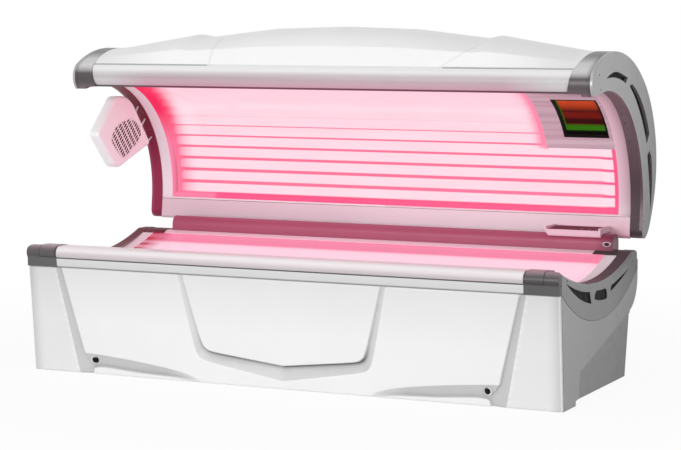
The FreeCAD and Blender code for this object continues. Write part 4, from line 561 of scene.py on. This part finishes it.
BESIDE_PANEL, BESIDE_FOOT = (0.60, 0.715), 0.877      # X and least Z of the glow there
TOP_PAINTED_GLOW, LEAST_PAINTED_GLOW = (0.98, 1.12), 0.10
GREEN_FOOT, GREEN_SIDE = (0.034, 0.045), (0.008, 0.014)   # from the filter glass's own edges
BLACK_FOOT = (0.015, 0.020)


def lamp_glass():
    """Lit tube: pale over its length, deep pink at its left end and beside the facial panel."""
    mat, out = material("lamp_tube")
    place = axis_of(X)
    right = times(remap(place, PANEL_SIDE, (0.0, 0.8)), below(place, PANEL_SIDE[1]))
    right = times(right, above(axis_of(Z), PANEL_FOOT))
    left = math_node("POWER", remap(place, LAMP_END), 1.5)
    colour = mix_colour(largest(right, left), (1.05, 0.79, 0.87), (1.0, 0.20, 0.36))
    grain = remap(noise(1.0, 2.0, scaled(LAMP_GRAIN)), (0.3, 0.7), (0.97, 1.03))
    shader = node("Emission", {"Color": colour, "Strength": grain})
    tree.links.new(shader.outputs[0], out.inputs[0])
    return mat


def clear_sheet(name, painted_glow, gloss_share):
    """Acrylic: mostly clear, with a painted glow of lamp light in it, and a soft gloss. Its
    second argument gives the painted glow's colour and how much of it there is."""
    mat, out = material(name)
    clear = node("BsdfTransparent", {"Color": (1.0, 0.98, 0.985, 1)})
    tint, share = painted_glow()
    painted_glow_shader = node("Emission", {"Color": tint, "Strength": 1.0})
    mottled = remap(noise(5.0), (0.3, 0.7), (0.95, 1.05))
    body = node("MixShader", {0: times(share, mottled), 1: clear.outputs[0],
                              2: painted_glow_shader.outputs[0]})
    gloss = node("BsdfGlossy", {"Color": (1, 1, 1, 1), "Roughness": 0.10})
    fresnel = node("Fresnel", {"IOR": 1.45})
    mirror = times(fresnel.outputs[0], gloss_share)
    mixed = node("MixShader", {0: mirror, 1: body.outputs[0], 2: gloss.outputs[0]})
    tree.links.new(mixed.outputs[0], out.inputs[0])
    return mat


def bench_glow():
    """Light in the bench sheet: deeper towards the hinge side, paler towards the front, with
    the lamps' dark ends as stripes at the left."""
    tint = ramp(axis_of(Y), BENCH_DEPTHS,
                [(0.0, (1.0, 0.70, 0.82)), (0.55, (1.0, 0.68, 0.81)), (0.875, (1.0, 0.66, 0.79)),
                 (0.90, (1.0, 0.26, 0.42)), (1.0, (1.0, 0.28, 0.44))])
    wave = math_node("SINE", times(axis_of(Y), LAMP_WAVE))
    end = remap(axis_of(X), BENCH_END, FALLING)
    end = times(end, remap(wave, (-1.0, 1.0), (0.45, 1.0)))
    return mix_colour(end, tint, (0.50, 0.008, 0.05)), BENCH_PAINTED_GLOW


def lamp_gaps():
    """1 where a gap between two lamps lies behind the canopy sheet, seen from the front."""
    y, z = from_arc()
    angle = math_node("ADD", math_node("ARCTAN2", z, y), EYE_LIFT)
    rise = math_node("DIVIDE", math_node("SINE", angle), LAMP_BEHIND)
    behind = minus(math_node("ARCSINE", rise), EYE_LIFT)
    steps = math_node("DIVIDE", behind, LAMP_STEP)
    share = math_node("ABSOLUTE", minus(math_node("FRACT", steps), 0.5))
    return remap(share, GAP_SPAN, FALLING)


def canopy_glow():
    """Light in the canopy sheet: hot pink along its lower edge, at its left end, where it
    reaches further in at the top, beside the facial panel and in a thin line at its right end,
    with a pale patch before that line."""
    x, z = axis_of(X), axis_of(Z)
    low = remap(z, EDGE_GLOW, (0.85, 0.0))
    width = remap(z, LEFT_GLOW, LEFT_WIDTH)
    inwards = math_node("DIVIDE", math_node("ADD", x, LIT[1]), width)
    left = minus(1.0, remap(inwards, (0.0, 1.0)))
    left = times(math_node("POWER", left, 1.3), 0.92)
    right = remap(x, RIGHT_LINE, (0.0, 0.85))
    high = above(z, BESIDE_FOOT)
    near_panel = math_node("POWER", remap(x, BESIDE_PANEL), 3.0)
    near_panel = times(times(near_panel, 0.70), high)
    hot = largest(low, left, right, near_panel)
    deep_left = mix_colour(remap(z, LEFT_TURN), (1.0, 0.24, 0.40), (0.95, 0.03, 0.12))
    end = remap(x, LEFT_STOP, FALLING)
    deep = mix_colour(high, mix_colour(end, (1.0, 0.12, 0.28), deep_left),
                      mix_colour(end, (1.0, 0.30, 0.46), deep_left))
    patch = remap(x, PALE_PATCH, (0.0, 0.80))
    patch = times(patch, below(hot, 0.3))
    top = remap(z, TOP_PAINTED_GLOW, (0.0, 0.42))
    # Painted lamp light on the sheet: pale over the lamps and deep pink over the gaps between
    # them.
    striped = mix_colour(lamp_gaps(), (1.0, 0.76, 0.85), (0.95, 0.11, 0.28))
    soft = mix_colour(remap(patch, (0.0, 0.3)), (1.0, 0.56, 0.68), striped)
    share = largest(patch, top, LEAST_PAINTED_GLOW)
    mostly = math_node("MINIMUM", times(hot, 3.0), 1.0)
    return mix_colour(mostly, soft, deep), largest(hot, share)


def filter_sheet():
    """Red filter glass with painted bands of lamp light, brightest at the top, that turns green
    at its lower and left edges, black at its foot.
    """
    mat, out = material("filter_glass")
    low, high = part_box("facial_glass")
    green = largest(
        remap(axis_of(Z), [low[Z] + edge for edge in GREEN_FOOT], FALLING),
        remap(axis_of(X), [low[X] + edge for edge in GREEN_SIDE], FALLING))
    red_with_painted_light = ramp(axis_of(Z), (low[Z], high[Z]),
               [(0.0, (0.10, 0.008, 0.004)), (0.28, (0.10, 0.008, 0.004)),
                (0.34, (0.045, 0.004, 0.002)), (0.42, (0.06, 0.005, 0.003)),
                (0.48, (0.24, 0.013, 0.006)), (0.60, (0.24, 0.014, 0.007)),
                (0.64, (0.10, 0.006, 0.003)), (0.72, (0.40, 0.045, 0.010)),
                (1.0, (0.80, 0.15, 0.03))])
    colour = mix_colour(green, red_with_painted_light, (0.045, 0.26, 0.006))
    foot = remap(axis_of(Z), [low[Z] + edge for edge in BLACK_FOOT], FALLING)
    colour = mix_colour(foot, colour, (0.003, 0.006, 0.002))
    clear = node("BsdfTransparent", {"Color": colour})
    # The body's faint emission is a painted glow.
    body = node("BsdfPrincipled", {
        "Base Color": colour, "Roughness": 0.5, "Emission Color": colour,
        "Emission Strength": 0.14})
    body.inputs["Specular IOR Level"].default_value = 0.1
    share = remap(noise(12.0), (0.3, 0.7), (0.60, 0.66))
    mixed = node("MixShader", {0: share, 1: clear.outputs[0], 2: body.outputs[0]})
    tree.links.new(mixed.outputs[0], out.inputs[0])
    return mat


paint(white, "canopy_shell")
paint(panel, "front_panel")
paint(lip, "lip_rail")
paint(satin, "front_rail")
paint(corner, "left_corner_cap", "right_corner_cap")
paint(plate, "left_end_plate", "right_end_plate")
paint(trim, "left_end_trim", "right_end_trim")
paint(rail_cap, "left_rail_cap", "right_rail_cap")
paint(cover, "rail_cap_covers")
paint(rail_strip, "rail_strip")
paint(end_panel, "left_end_panel", "right_end_panel")
paint(rear, "rear_panel")
paint(rim, "rim_bands")
paint(trunk, "trunk_cover")
paint(pale, "canopy_inner_shroud")
paint(ledge, "rear_ledge")
paint(bench_strip, "bench_end_strips")
paint(facial, "facial_panel")
paint(lamp_glass(), "bench_lamps", "canopy_lamps")
paint(clear_sheet("acrylic_canopy", canopy_glow, 0.06), "canopy_acrylic")
paint(clear_sheet("acrylic_bench", bench_glow, 0.15), "bench_acrylic")
paint(reflector, "bench_reflector", "canopy_reflector")
paint(facial_mirror, "facial_reflector")
paint(holder, "bench_lamp_holders", "canopy_lamp_holders")
paint(steel, "base_frame", "canopy_frame")
paint(bar, "torsion_bars")
paint(zinc, "base_screws", "canopy_screws")
paint(lock, "left_panel_lock", "right_panel_lock")
paint(rubber, "levelling_feet", "mains_gland")
paint(ballast, "ballasts")
paint(box_grey, "control_box")
paint(black, "base_fan_housings", "left_base_fan", "right_base_fan", "canopy_fan_housing",
      "canopy_fan")
paint(grille, "trim_grilles", "plate_grilles")
paint(window, "facial_frame")
paint(filter_sheet(), "facial_glass")
paint(capsule, "facial_lamp")
paint(console, "console_housing")
paint(display, "console_display")
paint(key, "start_key", "cooling_key", "facial_key")
paint(pod, "air_pod")
paint(pod_grille, "air_pod_grille")


def placed(name, shape, mat):
    """Object made of a shape, on the base."""
    for face in shape.faces:
        face.smooth = True
    mesh = bpy.data.meshes.new(name)
    shape.to_mesh(mesh)
    shape.free()
    mesh.materials.append(mat)
    made = bpy.data.objects.new(name, mesh)
    bpy.context.collection.objects.link(made)
    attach(made, "base")
    return made


# ---- front panel ----
# The panel's face is drawn flat: X along the bed, S up the leaning face from its foot and D its
# depth behind the face, in millimetres.
PANEL_LOW, PANEL_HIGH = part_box("front_panel")
FACE_HALF = PANEL_HIGH[X] * MM
FACE_TOP = (PANEL_HIGH[Z] - PANEL_LOW[Z]) * MM / math.cos(LEAN)
EDGE_R, ROUND_STEPS = 6.0, 4      # rounding of the panel's outer edges
FLAT_LOW, FLAT_HIGH, FLAT_HALF = EDGE_R, FACE_TOP - EDGE_R, FACE_HALF - EDGE_R
RETURN = 14.0                     # how far the panel reaches round its corners
SHELL_T = 3.5
# Painted shade in the channels, along their steep edges and on the columns is set by these.
SHADE_IN = 15.0                   # how far the shade of a steep edge reaches into its channel
SHADE_OUT = 9.0                   # and out of it
SHADE_CURVE, FLOOR_CURVE = 1.5, 1.1
SOFT_STEP = 2.5                   # width of the step in shade at a soft edge
LINE_DARK, LINE_DROP = 0.96, 0.46         # of the centre field's edge, at its foot and above
LINE_START, LINE_FADE = 130.0, 60.0       # the drop begins here and takes this height
COLUMN_PAINTED_SHADE, CORNER_PAINTED_SHADE, CORNER_SHADE = 0.09, 0.22, 38.0
LOCK_MIDDLE, LOCK_S, LOCK_HOLE = LOCK_X * MM, 57.0, 14.3
LOCK_NEAR, LOCK_WALL = (40.0, 20.0), 9.0
TOUCH = 0.1                       # a point this near to a line is on it

# The mesh's lines and points, also in millimetres.
BAND, SOFT_BAND = 13.0, 5.5       # no other points this near to a steep or a soft edge
WALL_SHARES, FLOOR_LINES = (0.0, 0.35, 0.7, 1.0), (2.5, 5.0, 7.5, 11.0)
BORDER_STEP, LINE_STEP, CORNER_CUT = 7.0, 9.0, 26.0
LINE_END, MIDDLE_END = 0.3, 0.2   # the lines stop this far from the border and the middle
CHANNEL_GRID, FIELD_GRID, CELL, MARGIN = 5.0, 14.0, 3.5, 3.0
HOLE_LINE, HOLE_STEP = 1.2, 10    # second ring round a hole, and degrees between its points
ON_EDGE, NO_DEPTH, MERGE, HOLE_SLACK = 0.05, 0.05, 0.05, 0.2

COLUMN = [(FACE_HALF - 124, FACE_TOP), (FACE_HALF - 209, 0.0)]
COLUMN_STEEP = [(FACE_HALF - 146, FACE_TOP), (FACE_HALF - 231, 84.0), (FACE_HALF - 273, 28.0),
                (FACE_HALF - 262, 0.0)]
SCOOP = [(FACE_HALF - 231, 84.0), (810.0, 82.0), (650.0, 68.0), (484.0, 47.0), (395.0, 28.0),
         (350.0, 4.0)]
SCOOP_STEEP = [(FACE_HALF - 273, 28.0), (791.0, 36.0), (615.0, 22.0), (449.0, 17.0),
               (380.0, 7.0), (350.0, 4.0)]
CENTRE = [(434.0, FACE_TOP), (396.0, 240.0), (365.0, 106.0), (328.0, 86.0), (0.0, 31.0)]
CENTRE_STEEP = [(418.0, FACE_TOP), (378.0, 268.0), (345.0, 154.0), (329.0, 133.0),
                (306.0, 121.0), (0.0, 86.0)]


def softened(points, rounds=2, share=0.25):
    """Line with its corners cut round and its ends kept."""
    for _ in range(rounds):
        made = [points[0]]
        for (ax, ay), (bx, by) in zip(points, points[1:]):
            cut = min(share, CORNER_CUT / max(math.hypot(bx - ax, by - ay), 1.0))
            made.append((ax + (bx - ax) * cut, ay + (by - ay) * cut))
            made.append((bx + (ax - bx) * cut, by + (ay - by) * cut))
        points = made + [points[-1]]
    return points


def divided(points, step):
    """Line with more points, no further apart than step."""
    made = [points[0]]
    for a, b in zip(points, points[1:]):
        parts = max(1, math.ceil(math.dist(a, b) / step))
        made += [(a[0] + (b[0] - a[0]) * k / parts, a[1] + (b[1] - a[1]) * k / parts)
                 for k in range(1, parts + 1)]
    return made


def nearest(point, line):
    """Distance from a point to a line of points."""
    best = math.inf
    px, py = point
    for (ax, ay), (bx, by) in zip(line, line[1:]):
        dx, dy = bx - ax, by - ay
        square = dx * dx + dy * dy
        if square < 1e-9:
            continue
        t = min(1.0, max(0.0, ((px - ax) * dx + (py - ay) * dy) / square))
        best = min(best, math.hypot(px - ax - t * dx, py - ay - t * dy))
    return best


def inside(point, loop):
    """Whether a point lies in a closed loop of points."""
    px, py = point
    odd = False
    for (ax, ay), (bx, by) in zip(loop, loop[1:] + loop[:1]):
        if (ay > py) != (by > py) and px < ax + (bx - ax) * (py - ay) / (by - ay):
            odd = not odd
    return odd


def beside(line, gap):
    """Line moved to its left by gap."""
    made = []
    for index, (px, py) in enumerate(line):
        ax, ay = line[max(index - 1, 0)]
        bx, by = line[min(index + 1, len(line) - 1)]
        length = max(math.hypot(bx - ax, by - ay), 1e-6)
        made.append((px - (by - ay) / length * gap, py + (bx - ax) / length * gap))
    return made


class Relief:
    """Channel between a soft edge and a steep edge, deepest beside the steep one. turn is 1
    where its wall lies to the left of the steep line and -1 where it lies to the right, wall is
    the wall's width, and the channel fades where it is narrower than wide. tone is how dark the
    channel is painted, as painted shade. depth and line give its depth and the darkness of the
    painted shadow along its steep edge at a height."""

    def __init__(self, soft, steep, turn, wall, wide, painted_shade_tone, depth, line):
        self.soft, self.steep, self.turn = soft, steep, turn
        self.wall, self.wide, self.painted_shade_tone = wall, wide, painted_shade_tone
        self.depth, self.line = depth, line
        self.loop = soft + steep[::-1]
        xs, ys = zip(*self.loop)
        self.box = (min(xs) - SHADE_OUT, max(xs) + SHADE_OUT,
                    min(ys) - SHADE_OUT, max(ys) + SHADE_OUT)

    def at(self, point):
        """Depth and painted shade at a point of the face."""
        if not (self.box[0] <= point[0] <= self.box[1]
                and self.box[2] <= point[1] <= self.box[3]):
            return 0.0, 0.0
        soft, steep = nearest(point, self.soft), nearest(point, self.steep)
        fade = min(1.0, (soft + steep) / self.wide)
        full, peak = self.depth(point[1]) * fade, self.line(point[1]) * fade
        if steep < ON_EDGE:
            return full, peak
        if inside(point, self.loop):
            share = soft / (soft + steep)
            painted_shade_tone = self.painted_shade_tone * fade * min(1.0, soft / SOFT_STEP)
            near = max(0.0, 1.0 - steep / SHADE_IN) ** SHADE_CURVE
            return full * share ** FLOOR_CURVE, painted_shade_tone + max(0.0, peak - painted_shade_tone) * near
        share = min(1.0, steep / self.wall)
        rise = 1 - share * share * (3 - 2 * share)
        return full * rise, peak * max(0.0, 1.0 - steep / SHADE_OUT) ** SHADE_CURVE


def centre_line(s):
    """Darkness of the painted shadow along the centre field's edge: black line below, faint at
    the sides.
    """
    return LINE_DARK - LINE_DROP * min(1.0, max(0.0, (s - LINE_START) / LINE_FADE))


RELIEFS = (
    Relief(COLUMN, COLUMN_STEEP, turn=-1.0, wall=4.0, wide=14.0, painted_shade_tone=0.36,
           depth=lambda s: 11.0 - 6.0 * s / FACE_TOP, line=lambda s: 0.42),
    Relief(softened(SCOOP), softened(SCOOP_STEEP), turn=1.0, wall=4.0, wide=30.0, painted_shade_tone=0.36,
           depth=lambda s: 11.0, line=lambda s: 0.50),
    Relief(softened(CENTRE), softened(CENTRE_STEEP), turn=-1.0, wall=5.0, wide=40.0, painted_shade_tone=0.33,
           depth=lambda s: 18.0, line=centre_line),
)


def face_depth(x, s):
    """How far the face lies back at a point."""
    return max(relief.at((abs(x), s))[0] for relief in RELIEFS)


def face_painted_shade(x, s):
    """How dark the face is painted at a point, as painted shade. The columns get painted shade
    that grows towards the panel's ends.
    """
    shade = max(relief.at((abs(x), s))[1] for relief in RELIEFS)
    (high_x, high_s), low_x = COLUMN[0], COLUMN[1][0]
    column = low_x + (high_x - low_x) * s / high_s
    if abs(x) < column or abs(x) > FACE_HALF - EDGE_R + 1:
        return shade
    outwards = max(0.0, (abs(x) - FACE_HALF + EDGE_R + CORNER_SHADE) / CORNER_SHADE)
    return max(shade, COLUMN_PAINTED_SHADE + CORNER_PAINTED_SHADE * outwards)


def near_edge(x, s):
    """Whether a point lies in a band that the mesh's lines along the edges fill."""
    point = (abs(x), s)
    return any(nearest(point, relief.steep) < BAND or nearest(point, relief.soft) < SOFT_BAND
               for relief in RELIEFS)


def face_lines():
    """Lines of the relief that the mesh's edges follow, for one half of the panel."""
    lines = []
    for relief in RELIEFS:
        soft, steep = divided(relief.soft, LINE_STEP), divided(relief.steep, LINE_STEP)
        lines += [soft, beside(soft, relief.turn * SOFT_STEP)]
        lines += [beside(steep, relief.turn * share * relief.wall) for share in WALL_SHARES]
        lines.append(beside(steep, relief.turn * SHADE_OUT))
        lines += [beside(steep, -relief.turn * inwards) for inwards in FLOOR_LINES]
    runs = []
    for line in lines:
        runs.append([])
        for x, s in line:
            if FLAT_LOW + LINE_END < s < FLAT_HIGH - LINE_END and x > MIDDLE_END:
                runs[-1].append((x, s))
            else:
                runs.append([])
    return [run for run in runs if len(run) > 1]


def grid_points(points):
    """Points that fill the face between the ones it has: close in the channels, wide apart on
    the flat fields."""
    made = []
    taken = {(round(x / CELL), round(s / CELL)) for x, s in points}
    for step, in_channel in ((CHANNEL_GRID, True), (FIELD_GRID, False)):
        for column in range(int(-FLAT_HALF / step), int(FLAT_HALF / step) + 1):
            for row in range(1, int(FLAT_HIGH / step) + 1):
                x, s = column * step, row * step
                if not FLAT_LOW + MARGIN < s < FLAT_HIGH - MARGIN or abs(x) > FLAT_HALF - MARGIN:
                    continue
                if in_channel and face_depth(x, s) < NO_DEPTH or near_edge(x, s):
                    continue
                cell = (round(x / CELL), round(s / CELL))
                around = {(cell[0] + i, cell[1] + j) for i in (-1, 0, 1) for j in (-1, 0, 1)}
                if around & taken:
                    continue
                taken.add(cell)
                made.append((x, s))
    return made


def face_points():
    """Points of the flat face, and the edges between them that its mesh keeps."""
    points, edges = [], []

    def add(line, closed=False):
        start = len(points)
        points.extend(line)
        edges.extend((start + k, start + k + 1) for k in range(len(line) - 1))
        if closed:
            edges.append((len(points) - 1, start))

    border = [(-FLAT_HALF, FLAT_LOW), (FLAT_HALF, FLAT_LOW), (FLAT_HALF, FLAT_HIGH),
              (-FLAT_HALF, FLAT_HIGH), (-FLAT_HALF, FLAT_LOW)]
    add(divided(border, BORDER_STEP)[:-1], closed=True)
    for side in (-1, 1):
        for line in face_lines():
            add([(side * x, s) for x, s in line])
        for radius in (LOCK_HOLE, LOCK_HOLE + HOLE_LINE):
            add([(side * LOCK_MIDDLE + radius * math.cos(math.radians(a)),
                  LOCK_S + radius * math.sin(math.radians(a)))
                 for a in range(0, 360, HOLE_STEP)], closed=True)
    return points + grid_points(points), edges


def carved_face():
    """The face with its relief, still drawn flat, and open where the locks are."""
    points, edges = face_points()
    made = geometry.delaunay_2d_cdt([Vector(point) for point in points], edges, [], 0, MERGE)
    flat, faces = made[0], made[2]
    shape = bmesh.new()
    shape.verts.layers.float.new("groove")
    verts = [shape.verts.new((v.x, v.y, face_depth(v.x, v.y))) for v in flat]
    for face in faces:
        x = sum(flat[k].x for k in face) / len(face)
        s = sum(flat[k].y for k in face) / len(face)
        if math.hypot(abs(x) - LOCK_MIDDLE, s - LOCK_S) > LOCK_HOLE - HOLE_SLACK:
            shape.faces.new([verts[k] for k in face])
    for vert in [v for v in shape.verts if not v.link_faces]:
        shape.verts.remove(vert)
    return shape


def at_lock(place):
    """Whether a point of the face's boundary belongs to a lock's hole."""
    return (abs(abs(place.x) - LOCK_MIDDLE) <= LOCK_NEAR[0]
            and abs(place.y - LOCK_S) <= LOCK_NEAR[1])


def extruded(shape, edges):
    """New vertices and edges along the far side of a strip of faces that starts at the edges."""
    ring = bmesh.ops.extrude_edge_only(shape, edges=edges)["geom"]
    return ([item for item in ring if isinstance(item, bmesh.types.BMVert)],
            [item for item in ring if isinstance(item, bmesh.types.BMEdge)])


def turn_back(shape, edges):
    """Rounds the face's outer edges and takes them back round its corners."""
    base = {}
    for step in range(1, ROUND_STEPS + 2):
        fresh, edges = extruded(shape, edges)
        angle = math.radians(90.0 * min(step, ROUND_STEPS) / ROUND_STEPS)
        grow = EDGE_R * math.sin(angle)
        for vert in fresh:
            old = next(e.other_vert(vert) for e in vert.link_edges
                       if e.other_vert(vert) not in fresh)
            home = base.get(old, old.co.copy())
            base[vert] = home
            x = home.x + math.copysign(grow, home.x) * (abs(home.x) > FLAT_HALF - TOUCH)
            s = home.y + grow * (home.y > FLAT_HIGH - TOUCH) - grow * (home.y < FLAT_LOW + TOUCH)
            d = home.z + EDGE_R * (1 - math.cos(angle))
            if step > ROUND_STEPS:
                d = max(RETURN, home.z + EDGE_R + 1)
            vert.co = (x, s, d)


def front_panel():
    """The front panel's moulding, in place of the CAD's plainer one."""
    shape = carved_face()
    boundary = [edge for edge in shape.edges if edge.is_boundary]
    outer = [edge for edge in boundary if not at_lock(edge.verts[0].co)]
    for vert in extruded(shape, [edge for edge in boundary if edge not in outer])[0]:
        vert.co.z += LOCK_WALL
    turn_back(shape, outer)

    # Each vertex keeps the face's painted shade, which the panel's material turns dark.
    groove = shape.verts.layers.float["groove"]
    for vert in shape.verts:
        vert[groove] = face_painted_shade(vert.co.x, vert.co.y)
        x, s, d = vert.co / MM
        vert.co = (x, d * math.cos(LEAN) - s * math.sin(LEAN) - SHIFT,
                   d * math.sin(LEAN) + s * math.cos(LEAN))
    bmesh.ops.recalc_face_normals(shape, faces=shape.faces)
    front = sum((face.normal * face.calc_area() for face in shape.faces), Vector())
    if front.y > 0:
        bmesh.ops.reverse_faces(shape, faces=shape.faces)
    made = placed("front_panel_moulding", shape, panel)
    skin = made.modifiers.new("wall", "SOLIDIFY")
    skin.thickness = SHELL_T / MM
    skin.offset = -1.0
    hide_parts("front_panel")


# ---- socket in the tower of the hinge cover ----
SOCKET = (0.996, 0.309, 0.515)    # on the hinge line, behind the middle of the socket
TOWER_R = 0.037
RING_X, RING_Z = 0.0148, 0.0086   # half width and half height of the ring
BEAD = 0.0020
PATH_STEPS, BEAD_STEPS, PLATE_STEPS = 48, 12, 36
HOLE_SHARE = 0.5                  # the plate's rings inside this share of its size are round
DISH = ((0.20, -0.0045), (0.20, -0.0006), (0.28, 0.0), (0.55, -0.0004), (0.85, 0.0001),
        (1.0, 0.0004), (1.0, -0.0012))    # share of the plate's size, height over the tower


def on_tower(across, up, radius):
    """Point on the tower's round front."""
    turn = up / TOWER_R
    return Vector((SOCKET[X] + across, SOCKET[Y] - radius * math.cos(turn),
                   SOCKET[Z] + radius * math.sin(turn)))


def turns(count):
    """Angles of evenly spaced points round a circle."""
    return [math.tau * k / count for k in range(count)]


def joined(shape, rings):
    """Faces between each ring of vertices and the next."""
    for ring, other in zip(rings, rings[1:]):
        for k in range(len(ring)):
            shape.faces.new((ring[k], ring[k - 1], other[k - 1], other[k]))


def socket_ring():
    """Bright bead round an oval path that follows the tower."""
    shape = bmesh.new()
    rings = []
    for angle in turns(PATH_STEPS):
        middle = on_tower(RING_X * math.cos(angle), RING_Z * math.sin(angle), TOWER_R)
        outside = on_tower((RING_X + BEAD) * math.cos(angle), (RING_Z + BEAD) * math.sin(angle),
                           TOWER_R) - middle
        proud = Vector((0, middle.y - SOCKET[Y], middle.z - SOCKET[Z])).normalized() * BEAD
        rings.append([shape.verts.new(middle + outside * math.cos(turn) + proud * math.sin(turn))
                      for turn in turns(BEAD_STEPS)])
    joined(shape, rings + rings[:1])
    bmesh.ops.recalc_face_normals(shape, faces=shape.faces)
    placed("socket_ring", shape, bar)


def socket_plate():
    """Dark dished plate inside the ring, with a jack hole in its middle."""
    shape = bmesh.new()
    rings = []
    for share, height in DISH:
        wide = RING_X * share
        tall = wide if share < HOLE_SHARE else RING_Z * share
        rings.append([shape.verts.new(on_tower(wide * math.cos(turn), tall * math.sin(turn),
                                               TOWER_R + height)) for turn in turns(PLATE_STEPS)])
    joined(shape, rings)
    shape.faces.new(rings[0])
    shape.faces.new(rings[-1][::-1])
    bmesh.ops.recalc_face_normals(shape, faces=shape.faces)
    placed("socket_plate", shape, socket_black)


front_panel()
socket_ring()
socket_plate()


# ---- stage, light and camera ----
FLOOR_HALF, FLOOR_DROP = 30.0, 0.0005
FLOOR_WHITE = 0.94         # share of plain white in what is seen of the floor near the bed
FLOOR_FADE = (1.5, 3.2)    # distance over which it becomes all white
WORLD_LIGHT = 0.45
LIGHTS = (                 # name, place, target, size and power
    ("front", (-0.7, -6.0, 1.3), (0, 0, 0.6), (4.5, 2.0), 145),
    ("right", (5.2, -4.2, 1.7), (0.4, 0, 0.7), (2.5, 2.0), 48),
    ("top", (-0.6, -1.6, 4.2), (0, 0, 0.9), (5.0, 2.0), 22),
)
AZIMUTH, ELEVATION = math.radians(25.2011), math.radians(5.5995)
CAMERA_PLACE = (3.5185, -6.9751 - SHIFT, 1.3850)
SENSOR = 36.0
FOCAL_SHARE = 2112.75 / 681       # focal length as a share of the picture's width
FAR = 100.0


def background():
    """1 for a ray from the camera, straight or by gloss or glass, 0 for one that lights."""
    path = node("LightPath")
    return largest(path.outputs["Is Camera Ray"], path.outputs["Is Glossy Ray"],
                   path.outputs["Is Transmission Ray"])


def stage():
    """White floor that keeps the bed's shadow."""
    mesh = bpy.data.meshes.new("floor")
    shape = bmesh.new()
    bmesh.ops.create_grid(shape, x_segments=2, y_segments=2, size=FLOOR_HALF)
    shape.to_mesh(mesh)
    shape.free()
    floor = bpy.data.objects.new("floor", mesh)
    bpy.context.collection.objects.link(floor)
    floor.location.z = -FLOOR_DROP
    mat, out = material("floor")
    seen = background()
    diffuse = node("BsdfDiffuse", {"Color": (0.8, 0.8, 0.8, 1)})
    bright = node("Emission", {"Color": (1, 1, 1, 1), "Strength": 1.0})
    place = node("TexCoord").outputs["Object"]
    away = node("VectorMath", {0: place}, operation="LENGTH").outputs["Value"]
    share = times(seen, remap(away, FLOOR_FADE, (FLOOR_WHITE, 1.0)))
    mixed = node("MixShader", {0: share, 1: diffuse.outputs[0], 2: bright.outputs[0]})
    tree.links.new(mixed.outputs[0], out.inputs[0])
    mesh.materials.append(mat)


def world():
    """Even light on the bed before a white background."""
    made = bpy.data.worlds.new("studio")
    bpy.context.scene.world = made
    out = start_tree(made, "World")
    lit = node("Background", {"Color": (1, 1, 1, 1), "Strength": WORLD_LIGHT})
    back = node("Background", {"Color": (1, 1, 1, 1), "Strength": 1.0})
    mixed = node("MixShader", {0: background(), 1: lit.outputs[0], 2: back.outputs[0]})
    tree.links.new(mixed.outputs[0], out.inputs[0])


def area(name, place, target, size, energy):
    """Rectangular light that looks at its target."""
    data = bpy.data.lights.new(name, "AREA")
    data.shape = "RECTANGLE"
    data.size, data.size_y = size
    data.energy = energy
    lamp = bpy.data.objects.new(name, data)
    bpy.context.collection.objects.link(lamp)
    lamp.location = place
    away = Vector(place) - Vector(target)
    lamp.rotation_mode = "QUATERNION"
    lamp.rotation_quaternion = away.to_track_quat("Z", "Y")


def camera():
    back = Vector((math.sin(AZIMUTH) * math.cos(ELEVATION),
                   -math.cos(AZIMUTH) * math.cos(ELEVATION), math.sin(ELEVATION)))
    data = bpy.data.cameras.new("camera")
    data.sensor_width = SENSOR
    data.lens = FOCAL_SHARE * SENSOR
    data.clip_end = FAR
    made = bpy.data.objects.new("camera", data)
    bpy.context.collection.objects.link(made)
    made.location = CAMERA_PLACE
    made.rotation_mode = "QUATERNION"
    made.rotation_quaternion = (-back).to_track_quat("-Z", "Y")
    bpy.context.scene.camera = made


stage()
world()
for light in LIGHTS:
    area(*light)
camera()
bpy.context.scene.view_settings.view_transform = "Standard"
